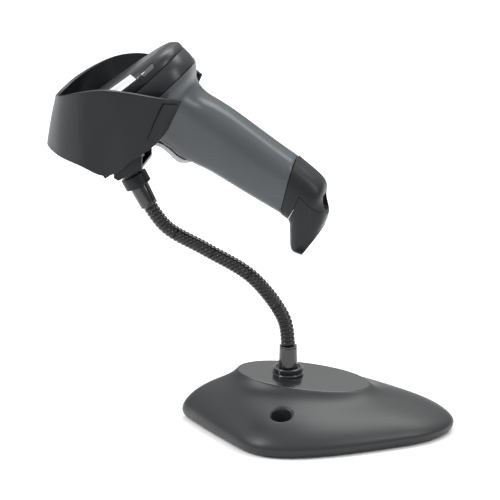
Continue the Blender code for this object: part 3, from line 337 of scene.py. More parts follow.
@dataclass(frozen=True)
class Glass:
    """A clear or tinted pane or lens, with a faint film of dust."""

    slot: str
    colour: Colour
    transmission: float = 0.9
    roughness: float = 0.03

    def paint(self, graph: Graph) -> None:
        """Fills the graph. Args: graph: the material's nodes."""
        film = graph.noise(4 * MM, 4.0, 0.6)
        graph.shade(Base_Color=graph.mixed(film, self.colour, shade_of(self.colour, 1.15)))
        graph.shade(Roughness=self.roughness + film.above(0.45, 0.85) * 0.05)
        graph.shade(Transmission_Weight=self.transmission, IOR=1.49, Coat_Weight=0.5, Coat_Roughness=0.03)


@dataclass(frozen=True)
class Board:
    """A printed circuit board: green mask over copper tracks, with tinned pads."""

    slot: str
    colour: Colour = (0.015, 0.12, 0.05)

    def paint(self, graph: Graph) -> None:
        """Fills the graph. Args: graph: the material's nodes."""
        values = {"Vector": graph.place(), "Scale": 160.0, "Mortar Size": 0.16, "Mortar Smooth": 0.1,
                  "Bias": 0.0, "Color1": (0, 0, 0, 1), "Color2": (0, 0, 0, 1), "Mortar": (1, 1, 1, 1)}
        tracks = graph.node("ShaderNodeTexBrick", {}, values, "Fac")
        pads = graph.cells(3.2 * MM).above(0.10, 0.16)
        tone = tracks * 0.5 + graph.noise(2 * MM) * 0.3
        green = graph.mixed(tone, self.colour, shade_of(self.colour, 2.2))
        tin = (0.55, 0.53, 0.48, 1.0)
        colour = graph.node("ShaderNodeMix", {"data_type": "RGBA"}, {0: pads, 6: tin, 7: green}, 2)
        graph.shade(Base_Color=colour, Roughness=0.3 + pads * 0.15, Metallic=1 - pads)
        graph.shade(Normal=graph.bump(tracks, 0.04 * MM))


Finish = Moulded | Lacquer | Steel | Rubber | Glass | Board


@dataclass(frozen=True)
class Finishes:
    """Every finish on the object."""

    axis_x: float
    base: Moulded = field(init=False)
    pad: Rubber = Rubber("pad_rubber")
    weight: Steel = Steel("weight_steel", (0.40, 0.40, 0.41), 0.4)
    screw: Steel = Steel("screw_steel", (0.56, 0.56, 0.57), 0.28)
    fitting: Lacquer = Lacquer("fitting_black", (0.018, 0.018, 0.019))
    conduit: Lacquer = Lacquer("conduit_black", (0.005, 0.005, 0.0055), 0.16, 0.0, (1.0, 1.0, 1.0), 0.3, 0.25)
    cup: Moulded = Moulded("cup_plastic", (0.0085, 0.0102, 0.0116), 0.34, 0.5 * MM, 0.012 * MM, specular=0.22)
    ear: Moulded = Moulded("ear_pad", (0.0085, 0.0102, 0.0116), 0.42, 0.5 * MM, 0.025 * MM, specular=0.22)
    cover: Moulded = Moulded("cover_plastic", (0.012, 0.0135, 0.0145), 0.30, 0.5 * MM, 0.012 * MM,
                             specular=0.35)
    grip: Moulded = Moulded("grip_plastic", (0.055, 0.061, 0.066), 0.31, 0.5 * MM, 0.010 * MM,
                            0.03, specular=0.42)
    # the trigger's light grey is a painted reflection of the pale floor along the blade's glossy face
    trigger: Moulded = Moulded("trigger_plastic", (0.48, 0.49, 0.50), 0.22, 0.5 * MM, 0.01 * MM,
                               0.03, coat=0.4)
    bezel: Moulded = Moulded("bezel_plastic", (0.012, 0.0125, 0.0135), 0.28)
    # light grey painted on the band round the top panel: a painted highlight on that facet
    highlight_band: Moulded = Moulded("side_lens", (0.62, 0.63, 0.64), 0.12, 0.5 * MM, 0.004 * MM, 0.03, coat=0.8)
    side_lens: Glass = Glass("side_lens", (0.06, 0.063, 0.066), 0.15, 0.08)
    window: Glass = Glass("window_glass", (0.75, 0.62, 0.62), 0.95)
    optic: Glass = Glass("optic_glass", (0.10, 0.10, 0.22), 0.5)
    lamp: Glass = Glass("lamp_lens", (0.9, 0.86, 0.84), 0.6, 0.06)
    cap: Moulded = Moulded("cap_plastic", (0.010, 0.0112, 0.012), 0.40, 1.1 * MM, 0.09 * MM,
                           0.12, specular=0.28)
    foot: Moulded = Moulded("foot_plastic", (0.009, 0.0102, 0.011), 0.36, 0.5 * MM, 0.012 * MM, specular=0.28)
    port: Moulded = Moulded("port_plastic", (0.012, 0.012, 0.013), 0.4)
    board: Board = Board("board_green")
    engine: Lacquer = Lacquer("engine_metal", (0.05, 0.05, 0.055), 0.4, 0.6, (1.0, 1.0, 1.0))
    buzzer: Moulded = Moulded("buzzer_plastic", (0.015, 0.015, 0.016), 0.45)

    def __post_init__(self) -> None:
        """Sets the base's finish, which needs the place of the flat."""
        base = BasePlastic("base_plastic", (0.0150, 0.0162, 0.0172), 0.40, 0.5 * MM, 0.015 * MM, 0.05,
                           specular=0.4, axis_x=self.axis_x)
        object.__setattr__(self, "base", base)


def material_for(name: str, finish: Finish) -> bpy.types.Material:
    """Makes a piece's own material.

    Args: name: the piece's. finish: what it is finished in.
    Returns: it.
    """
    material = bpy.data.materials.new(name)
    finish.paint(Graph(material))
    return material


# ---- forms ---------------------------------------------------------------------------
def smooth_curve(points: Points, steps: int, closed: bool = False) -> np.ndarray:
    """A Catmull-Rom curve through points of any size.

    Args:
        points: the points.
        steps: points to a span.
        closed: whether the curve runs back to its start.

    Returns:
        The curve's points, one to a row.
    """
    given = np.array(points, float)
    count = len(given)
    if closed:
        padded = np.vstack([given[-1:], given, given[:2]])
    else:
        padded = np.vstack([2 * given[:1] - given[1:2], given, 2 * given[-1:] - given[-2:-1]])
    out = []
    for i in range(count if closed else count - 1):
        a, b, c, d = padded[i:i + 4]
        for t in np.arange(steps) / steps:
            out.append(0.5 * (2 * b + (c - a) * t + (2 * a - 5 * b + 4 * c - d) * t ** 2
                              + (3 * b - a - 3 * c + d) * t ** 3))
    if not closed:
        out.append(given[-1])
    return np.array(out)


def rounded(profile: Sequence[tuple[float, ...]], steps: int = 5) -> list[tuple[float, float]]:
    """Rounds the corners of an open line.

    Args:
        profile: (x, y) or (x, y, radius) points. A point with no radius stays sharp.
        steps: points on each rounded corner, less one.

    Returns:
        The line's (x, y) points.
    """
    points = [np.array(p[:2], float) for p in profile]
    out: list[tuple[float, float]] = []
    for i, (point, given) in enumerate(zip(points, profile)):
        if len(given) < 3 or i in (0, len(points) - 1):
            out.append(tuple(point))
            continue
        before, after = points[i - 1] - point, points[i + 1] - point
        reach = min(given[2], 0.48 * np.linalg.norm(before), 0.48 * np.linalg.norm(after))
        start = point + before / np.linalg.norm(before) * reach
        end = point + after / np.linalg.norm(after) * reach
        for t in np.linspace(0.0, 1.0, steps + 1):
            out.append(tuple((1 - t) ** 2 * start + 2 * t * (1 - t) * point + t ** 2 * end))
    return out


def normals_of(grid: np.ndarray) -> np.ndarray:
    """Unit normals of a grid of points. Args: grid: (columns, rows, 3). Returns: one to a point."""
    normal = np.cross(np.gradient(grid, axis=0), np.gradient(grid, axis=1))
    return normal / np.linalg.norm(normal, axis=2)[:, :, None]


@dataclass
class Form:
    """Points and faces of one closed shape."""

    points: np.ndarray
    faces: list[tuple[int, ...]]

    @staticmethod
    def loft(rings: Sequence[np.ndarray], wrap: bool = False) -> "Form":
        """Bridges rings of equal length.

        Args: rings: in order. wrap: joins the last to the first.
        Returns: it.
        """
        count, size = len(rings), len(rings[0])
        faces: list[tuple[int, ...]] = []
        for i in range(count if wrap else count - 1):
            a, b = i * size, (i + 1) % count * size
            for j in range(size):
                k = (j + 1) % size
                faces.append((a + j, a + k, b + k, b + j))
        if not wrap:
            faces.append(tuple(range(size)))
            faces.append(tuple((count - 1) * size + j for j in range(size)))
        return Form(np.vstack(rings), faces)

    @staticmethod
    def turned(profile: Sequence[tuple[float, float]], sides: int = 72, wrap: bool = False) -> "Form":
        """Turns (radius, height) points round Z.

        Args: profile: the points. sides: round it. wrap: a ring.
        """
        turn = np.linspace(0.0, 2 * np.pi, sides, endpoint=False)
        rings = [np.stack([r * np.cos(turn), r * np.sin(turn), np.full(sides, z)], axis=1)
                 for r, z in profile]
        return Form.loft(rings, wrap)

    @staticmethod
    def slab(outer: np.ndarray, inner: np.ndarray) -> "Form":
        """Closes the space between two grids of points.

        Args: outer, inner: (columns, rows, 3).
        Returns: it.
        """
        columns, rows = outer.shape[:2]
        far = columns * rows
        faces: list[tuple[int, ...]] = []
        for i in range(columns - 1):
            for j in range(rows - 1):
                a, b = i * rows + j, (i + 1) * rows + j
                faces.append((a, b, b + 1, a + 1))
                faces.append((far + a, far + a + 1, far + b + 1, far + b))
            for j in (0, rows - 1):
                a, b = i * rows + j, (i + 1) * rows + j
                faces.append((a, far + a, far + b, b))
        for j in range(rows - 1):
            for i in (0, columns - 1):
                a = i * rows + j
                faces.append((a, a + 1, far + a + 1, far + a))
        return Form(np.vstack([outer.reshape(-1, 3), inner.reshape(-1, 3)]), faces)

    @staticmethod
    def prism(outline: Points, low: float, high: float) -> "Form":
        """Extrudes an (x, z) outline along Y. Args: outline: its points. low, high: y of the ends."""
        flat = np.array(outline, float)
        rings = [np.stack([flat[:, 0], np.full(len(flat), y), flat[:, 1]], axis=1) for y in (low, high)]
        return Form.loft(rings)

    @staticmethod
    def box(low: Sequence[float], high: Sequence[float]) -> "Form":
        """A plain block, for cutting. Args: low, high: its corners."""
        outline = [(low[0], low[2]), (high[0], low[2]), (high[0], high[2]), (low[0], high[2])]
        return Form.prism(outline, low[1], high[1])

    @staticmethod
    def bar(radius: float, low: float, high: float, sides: int) -> "Form":
        """A round bar along Z, for cutting. Args: radius: its own. low, high: its ends. sides: round it."""
        return Form.turned([(radius, low), (radius, high)], sides)

    def moved(self, matrix: Matrix) -> "Form":
        """The form moved by a matrix."""
        turn = np.array(matrix)
        return Form(self.points @ turn[:3, :3].T + turn[:3, 3], self.faces)


class Blank:
    """A piece on the bench: cut, joined and rounded before it is finished."""

    def __init__(self, name: str, form: Form) -> None:
        """Args: name: the piece's. form: its first shape."""
        mesh = bpy.data.meshes.new(name)
        mesh.from_pydata([tuple(p) for p in form.points], [], form.faces)
        self.obj = bpy.data.objects.new(name, mesh)
        bpy.context.scene.collection.objects.link(self.obj)
        self.clean()

    def clean(self) -> None:
        """Merges doubles and turns every face outwards."""
        bm = bmesh.new()
        bm.from_mesh(self.obj.data)
        bmesh.ops.remove_doubles(bm, verts=bm.verts, dist=1e-6)
        bmesh.ops.dissolve_degenerate(bm, dist=1e-7, edges=bm.edges)
        bmesh.ops.recalc_face_normals(bm, faces=bm.faces)
        bm.to_mesh(self.obj.data)
        bm.free()

    def _bake(self) -> None:
        """Turns what the modifiers make into the piece's own mesh."""
        graph = bpy.context.evaluated_depsgraph_get()
        made = bpy.data.meshes.new_from_object(self.obj.evaluated_get(graph))
        self.obj.modifiers.clear()
        old = self.obj.data
        self.obj.data = made
        bpy.data.meshes.remove(old)

    def cut(self, *forms: Form, operation: str = "DIFFERENCE") -> "Blank":
        """Cuts or joins forms, one after another.

        Args:
            forms: the tools.
            operation: the Boolean modifier's operation.

        Returns:
            The blank.
        """
        tools = [Blank(f"{self.obj.name}_tool", form) for form in forms]
        for tool in tools:
            modifier = self.obj.modifiers.new("cut", "BOOLEAN")
            modifier.object = tool.obj
            modifier.operation = operation
            modifier.solver = "EXACT"
        self._bake()
        for tool in tools:
            bpy.data.objects.remove(tool.obj)
        return self

    def eased(self, width: float, angle: float = 50.0, segments: int = 3) -> "Blank":
        """Rounds the sharp edges.

        Args: width: of the rounding. angle: edges that turn more. segments: of it.
        """
        modifier = self.obj.modifiers.new("ease", "BEVEL")
        modifier.width = width
        modifier.segments = segments
        modifier.limit_method = "ANGLE"
        modifier.angle_limit = math.radians(angle)
        modifier.use_clamp_overlap = True
        self._bake()
        return self

    def done(self, finish: Finish, body: Body, *nodes: str, sharp: float = 32.0) -> bpy.types.Object:
        """Finishes the piece, hangs it on its body's empty and hides the CAD nodes that it stands for.

        Args:
            finish: its finish.
            body: what it rides on.
            nodes: the CAD nodes that it stands for.
            sharp: edges that turn more than this, in degrees, stay crisp.

        Returns:
            The finished object.
        """
        dress(self.obj, finish, sharp)
        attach(self.obj, body.value)
        if nodes:
            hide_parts(*nodes)
        LOG.info("%s: %d faces on %s", self.obj.name, len(self.obj.data.polygons), body.value)
        return self.obj


def dress(obj: bpy.types.Object, finish: Finish, sharp: float) -> None:
    """Gives a mesh its finish. Args: obj: the piece. finish: its finish. sharp: angle of a crisp edge."""
    mesh = obj.data
    mesh.materials.clear()
    mesh.materials.append(material_for(obj.name, finish))
    mesh.shade_smooth()
    mesh.set_sharp_from_angle(angle=math.radians(sharp))


def recoat(finish: Finish, *nodes: str) -> None:
    """Gives CAD nodes that stay as they are a better material. Args: finish: theirs. nodes: their names."""
    for name in nodes:
        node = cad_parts[name]
        node.data.materials.clear()
        node.data.materials.append(material_for(name, finish))
        LOG.info("%s: kept, in %s", name, finish.slot)


# ---- geometry node trees -------------------------------------------------------------
class Tree:
    """A Geometry Nodes tree that is written in Python, run once and thrown away."""

    def __init__(self, name: str, inputs: dict[str, tuple[str, Any]]) -> None:
        """Args: name: the tree's. inputs: each input's socket type and value, by name."""
        self.tree = bpy.data.node_groups.new(name, "GeometryNodeTree")
        self.values: dict[str, Any] = {}
        self.tree.interface.new_socket("Geometry", in_out="INPUT", socket_type="NodeSocketGeometry")
        for key, (kind, value) in inputs.items():
            socket = self.tree.interface.new_socket(key, in_out="INPUT", socket_type=kind)
            self.values[socket.identifier] = value
        self.tree.interface.new_socket("Geometry", in_out="OUTPUT", socket_type="NodeSocketGeometry")
        self.given = self.tree.nodes.new("NodeGroupInput").outputs

    def node(self, kind: str, settings: dict[str, Any], values: dict[Any, Any], output: Any = 0) -> Any:
        """Adds a node. Args: as for a shader graph's node. Returns: the output that is wanted."""
        node = self.tree.nodes.new(kind)
        for key, value in settings.items():
            setattr(node, key, value)
        for key, value in values.items():
            if isinstance(value, bpy.types.NodeSocket):
                self.tree.links.new(value, node.inputs[key])
            else:
                node.inputs[key].default_value = value
        return node.outputs[output]

    def maths(self, operation: str, *values: Any) -> Any:
        """Adds a Math node. Args: operation: its operation. values: its inputs. Returns: its result."""
        return self.node("ShaderNodeMath", {"operation": operation}, dict(enumerate(values)))

    def finish(self, geometry: Any, material: Any) -> None:
        """Ends the tree. Args: geometry: what it makes. material: the socket with the material."""
        real = self.node("GeometryNodeRealizeInstances", {}, {0: geometry})
        painted = self.node("GeometryNodeSetMaterial", {}, {0: real, "Material": material})
        end = self.tree.nodes.new("NodeGroupOutput")
        self.tree.links.new(painted, end.inputs[0])

    def run(self, name: str, source: bpy.types.ID) -> bpy.types.Object:
        """Runs the tree on a curve or mesh.

        Args: name: the new piece's. source: the data.
        Returns: a plain mesh.
        """
        carrier = bpy.data.objects.new(f"{name}_path", source)
        bpy.context.scene.collection.objects.link(carrier)
        modifier = carrier.modifiers.new("make", "NODES")
        modifier.node_group = self.tree
        for key, value in self.values.items():
            modifier[key] = value
        graph = bpy.context.evaluated_depsgraph_get()
        mesh = bpy.data.meshes.new_from_object(carrier.evaluated_get(graph))
        mesh.name = name
        bpy.data.objects.remove(carrier)
        bpy.data.node_groups.remove(self.tree)
        piece = bpy.data.objects.new(name, mesh)
        bpy.context.scene.collection.objects.link(piece)
        return piece


def wound_tube(name: str, points: np.ndarray, start: float, pitch: float, radius: float, depth: float,
               material: bpy.types.Material) -> bpy.types.Object:
    """A flexible conduit: a tube whose turns stand out as round beads.

    Args:
        name: the piece's name.
        points: its centre line.
        start: how far along the whole conduit the line begins.
        pitch: from turn to turn.
        radius: over the turns.
        depth: of the groove between turns.
        material: its material.

    Returns:
        The tube as a plain mesh.
    """
    curve = bpy.data.curves.new(name, "CURVE")
    curve.dimensions = "3D"
    spline = curve.splines.new("POLY")
    spline.points.add(len(points) - 1)
    for target, point in zip(spline.points, points):
        target.co = (*point, 1.0)
    tree = Tree("wound_conduit", {
        "Pitch": ("NodeSocketFloat", pitch), "Radius": ("NodeSocketFloat", radius),
        "Depth": ("NodeSocketFloat", depth), "Start": ("NodeSocketFloat", start),
        "Turn Points": ("NodeSocketFloat", 10.0), "Sides": ("NodeSocketInt", 40),
        "Material": ("NodeSocketMaterial", material)})
    given = tree.given
    step = tree.maths("DIVIDE", given["Pitch"], given["Turn Points"])
    line = tree.node("GeometryNodeResampleCurve", {"mode": "LENGTH"},
                     {"Curve": given["Geometry"], "Length": step})
    along = tree.node("GeometryNodeSplineParameter", {}, {}, "Length")
    turns = tree.maths("DIVIDE", tree.maths("ADD", along, given["Start"]), given["Pitch"])
    swing = tree.maths("SUBTRACT", tree.maths("MULTIPLY", tree.maths("FRACT", turns), 2.0), 1.0)
    rest = tree.maths("SUBTRACT", 1.0, tree.maths("POWER", swing, 2.0))
    bead = tree.maths("SQRT", tree.maths("MAXIMUM", rest, 0.0))
    groove = tree.maths("DIVIDE", given["Depth"], given["Radius"])
    size = tree.maths("SUBTRACT", 1.0, tree.maths("MULTIPLY", groove, tree.maths("SUBTRACT", 1.0, bead)))
    round_ = tree.node("GeometryNodeCurvePrimitiveCircle", {"mode": "RADIUS"},
                       {"Resolution": given["Sides"], "Radius": given["Radius"]})
    tube = tree.node("GeometryNodeCurveToMesh", {},
                     {"Curve": line, "Profile Curve": round_, "Scale": size, "Fill Caps": True})
    tree.finish(tree.node("GeometryNodeSetShadeSmooth", {}, {0: tube}), given["Material"])
    return tree.run(name, curve)


# ---- layout --------------------------------------------------------------------------
def foot_axis() -> float:
    """Where the axis of the neck's foot stands along X, from the ring that it goes through."""
    low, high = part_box("neck_socket_ring")
    return (low.x + high.x) / 2


@dataclass(frozen=True)
class Layout:
    """The two sets of axes that pieces are laid out in."""

    axis_x: float
    head_tilt: float = math.radians(43.0)
    scanner_place: tuple[float, float] = (-87.04 * MM, 222.38 * MM)

    def stand(self) -> Matrix:
        """The stand's axes: Z along the neck's foot."""
        return Matrix.Translation((self.axis_x, 0.0, 0.0))

    def scanner(self) -> Matrix:
        """The scanner's axes."""
        x, z = self.scanner_place
        return self.stand() @ Matrix.Translation((x, 0.0, z)) @ Matrix.Rotation(-self.head_tilt, 4, "Y")


def turned_piece(name: str, profile: Sequence[tuple[float, ...]], place: Matrix, wrap: bool = False,
                 steps: int = 5) -> Blank:
    """A turned piece with rounded corners. Args: as for Form.turned and rounded. place: of its axis."""
    return Blank(name, Form.turned(rounded(profile, steps), 96, wrap).moved(place))


# ---- the base ------------------------------------------------------------------------
@dataclass
class Base:
    """The weighted base: a smooth dome with a polished oval flat on top."""

    layout: Layout
    finishes: Finishes
    front: float = 72 * MM
    rear: float = 111.5 * MM
    half_width: float = 77 * MM
    rim: float = 5.2 * MM
    curl: tuple[tuple[float, float], ...] = ((3.9, 0.8), (3.1, 0.95), (2.2, 1.5), (1.45, 2.2), (0.85, 3.05),
                                             (0.42, 4.0), (0.14, 5.0), (0.03, 5.7))
    widest: float = 6.4 * MM
    hollow_edge: float = 5.0 * MM
    dome_power: float = 1.6
    island_rise: float = 6.5 * MM
    island_power: float = 7.0
    flat_height: float = 34 * MM
    flat_tilt: float = math.radians(5.0)
    flat_centre: float = 10.5 * MM
    flat_half_length: float = 44.5 * MM
    flat_half_width: float = 27.5 * MM
    edge: float = 0.35 * MM
    ceiling: float = 26.7 * MM
    seat: float = 33 * MM
    ring_radius: float = 10.1 * MM
    seat_clear: float = 43 * MM
    stud_radius: float = 4 * MM
    stud_room: float = 17 * MM
    screw_place: tuple[float, float] = (4 * MM, 51 * MM)
    screw_radius: float = 7 * MM
    screw_floor: float = 9 * MM
    shank_radius: float = 2.6 * MM
    pillar_wall: float = 1.8 * MM
    pillar_ends: tuple[float, float] = (-3 * MM, 40 * MM)
    hollow_low: float = -2 * MM
    # (radius, height) over the dome's surface, in millimetres
    dish_line: Points = ((7.2, -1.2), (7.5, -0.75), (8.0, -0.42), (8.6, -0.2), (9.4, -0.02), (11, 0.5),
                         (11, 4))
    pad_radius: float = 11 * MM
    pad_edge: float = 0.3 * MM
    pad_places: tuple[tuple[float, float], ...] = ((-48 * MM, 0.0), (42 * MM, 43 * MM), (42 * MM, -43 * MM))

    def outline(self, inset: float, steps: int = 14) -> np.ndarray:
        """The base seen from above.

        Args: inset: distance drawn in. steps: points to a span.
        Returns: (x, y).
        """
        near = [(-1.0, 0.0), (-0.87, -0.205), (-0.54, -0.585), (-0.21, -0.915), (0.07, -1.0), (0.34, -0.885),
                (0.66, -0.615), (0.90, -0.34), (1.0, 0.0)]
        far = [(x, -y) for x, y in reversed(near[1:-1])]
        points = [(x * (self.front if x < 0 else self.rear), y * self.half_width) for x, y in near + far]
        ring = smooth_curve(points, steps, closed=True)
        along = np.roll(ring, -1, axis=0) - np.roll(ring, 1, axis=0)
        along /= np.linalg.norm(along, axis=1)[:, None]
        ring = ring + inset * np.stack([-along[:, 1], along[:, 0]], axis=1)
        ring[:, 1] = np.clip(ring[:, 1], -self.half_width, self.half_width)
        return ring

    def flat_edge(self, outline: np.ndarray, inner: float) -> np.ndarray:
        """The oval's points towards each point of the outline.

        Args: inner: how far in.
        Returns: (x, y, z).
        """
        a, b = self.flat_half_length - inner, self.flat_half_width - inner
        angle = np.arctan2(outline[:, 1] / b, (outline[:, 0] - self.flat_centre) / a)
        x = self.flat_centre + a * np.cos(angle)
        return np.stack([x, b * np.sin(angle), self.flat_height - math.tan(self.flat_tilt) * x], axis=1)

    def flank(self, outline: np.ndarray, t: float, low: float, top: float | None, inner: float) -> np.ndarray:
        """One ring of the dome.

        Args: t: 0 at the edge, 1 at the oval. low: lowest z. top: flat z. inner: in.
        """
        oval = self.flat_edge(outline, inner)
        height = oval[:, 2] if top is None else np.full(len(oval), top)
        dome = height - low - self.island_rise
        z = low + dome * (1 - (1 - t) ** self.dome_power) ** (1 / self.dome_power)
        z = z + self.island_rise * t ** self.island_power
        return np.column_stack([outline + (oval[:, :2] - outline) * t, z])

    def dome(self) -> Form:
        """The outside: the curled lower edge, the flank and the flat with its soft edge."""
        outer = self.outline(0.0)
        rings = [np.column_stack([self.outline(d * MM), np.full(len(outer), z * MM)]) for d, z in self.curl]
        rows = np.concatenate([np.linspace(0, 0.1, 7), np.linspace(0.14, 0.8, 18), np.linspace(0.82, 1, 13)])
        rings += [self.flank(outer, t, self.widest, None, 0.0) for t in rows]
        drop = np.array([0.0, 0.0, self.edge])
        rings[-1] = rings[-1] - drop
        for share in (0.3, 1.0):
            angle = share * math.pi / 2
            inward = self.flat_edge(outer, self.edge * (1 - math.cos(angle)))
            rings.append(inward - drop * (1 - math.sin(angle)))
        rings.append(self.flat_edge(outer, 3 * self.edge))
        return Form.loft(rings).moved(self.layout.stand())

    def hollow(self) -> Form:
        """The room inside, round the two pillars of the counter-mounting holes."""
        inner = self.outline(self.rim)
        rings = [np.column_stack([inner, np.full(len(inner), self.hollow_low)])]
        rows = (0.0, 0.05, 0.14, 0.28, 0.45, 0.65, 0.85, 1.0)
        rings += [self.flank(inner, t, self.hollow_edge, self.ceiling, self.rim) for t in rows]
        hollow = Blank("hollow", Form.loft(rings).moved(self.layout.stand()))
        pillar = Form.bar(self.screw_radius + self.pillar_wall, *self.pillar_ends, 48)
        hollow.cut(*[pillar.moved(self.screw_axis(side)) for side, _ in SIDES])
        mesh = hollow.obj.data
        form = Form(np.array([v.co[:] for v in mesh.vertices]), [tuple(p.vertices) for p in mesh.polygons])
        bpy.data.objects.remove(hollow.obj)
        return form

    def shell(self) -> None:
        """The moulded shell, with its seat for the neck and its two counter-mounting holes."""
        stand = self.layout.stand()
        seat = Form.bar(self.ring_radius + GAP, self.seat, self.seat_clear, 96)
        stud = Form.bar(self.stud_radius + GAP, self.stud_room, self.flat_height, 64)
        blank = Blank("base_dome", self.dome())
        tools = [self.hollow(), seat.moved(stand), stud.moved(stand)]
        r, shank = self.screw_radius, self.shank_radius
        bore = [(shank, 0.0), (shank, self.screw_floor), (r, self.screw_floor), (r, self.flat_height)]
        for side, _ in SIDES:
            tools += [Form.turned(bore, 64).moved(self.screw_axis(side)), self.dish(side)]
        blank.cut(*tools)
        blank.done(self.finishes.base, Body.BASE, "base_shell", sharp=38.0)

    def screw_axis(self, side: int) -> Matrix:
        """The axis of a counter-mounting hole. Args: side: -1 right or 1 left. Returns: its place."""
        x, y = self.screw_place
        return self.layout.stand() @ Matrix.Translation((x, side * y, 0.0))

    def surface(self, x: float, y: float) -> tuple[Vector, Vector]:
        """The dome over a point.

        Args: x, y: in the stand's axes.
        Returns: the point and the outward normal.
        """
        outer = self.outline(0.0)
        rings = np.array([self.flank(outer, t, self.widest, None, 0.0) for t in np.linspace(0, 1, 200)])
        i, j = np.unravel_index(np.argmin(np.hypot(rings[:, :, 0] - x, rings[:, :, 1] - y)), rings.shape[:2])
        along = Vector(rings[i, (j + 1) % len(outer)] - rings[i, j - 1])
        up = Vector(rings[i + 1, j] - rings[i - 1, j])
        normal = along.cross(up).normalized()
        return Vector(rings[i, j]), normal if normal.z > 0 else -normal

    def dish(self, side: int) -> Form:
        """The shallow dish round a counter-mounting hole. Args: side: -1 or 1. Returns: the tool."""
        x, y = self.screw_place
        point, normal = self.surface(x, side * y)
        turn = normal.to_track_quat("Z", "Y").to_matrix().to_4x4()
        profile = [(r * MM, z * MM) for r, z in self.dish_line]
        return Form.turned(profile, 96).moved(self.layout.stand() @ Matrix.Translation(point) @ turn)

    def pads(self) -> None:
        """Rubber feet, each with rings of tread under it."""
        radius, edge = self.pad_radius, self.pad_edge
        for number, (x, y) in enumerate(self.pad_places, 1):
            node = f"base_pad_{number}"
            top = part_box(node)[1].z
            profile: list[tuple[float, ...]] = []
            for ring in range(5):
                r = (2.0 + 2.0 * ring) * MM
                profile += [(r, 0.0), (r + 1.2 * MM, 0.0), (r + 1.4 * MM, edge), (r + 1.8 * MM, edge)]
            profile = profile[:-2] + [(radius - edge, 0.0), (radius, edge), (radius, top, 0.1 * MM)]
            profile = [p for p in profile if p[0] <= radius]
            profile.append((radius - edge, top))
            place = self.layout.stand() @ Matrix.Translation((x, y, 0.0))
            pad = turned_piece(f"foot_pad_{number}", profile, place)
            pad.done(self.finishes.pad, Body.BASE, node)

    def build(self) -> None:
        """Makes the base."""
        self.shell()
        self.pads()
        recoat(self.finishes.base, "base_bottom_plate")
        recoat(self.finishes.weight, "base_weight")
        screws = [f"plate_screw_{number}" for number in (1, 2, 3)]
        recoat(self.finishes.screw, *screws, "wing_nut", "neck_stud")


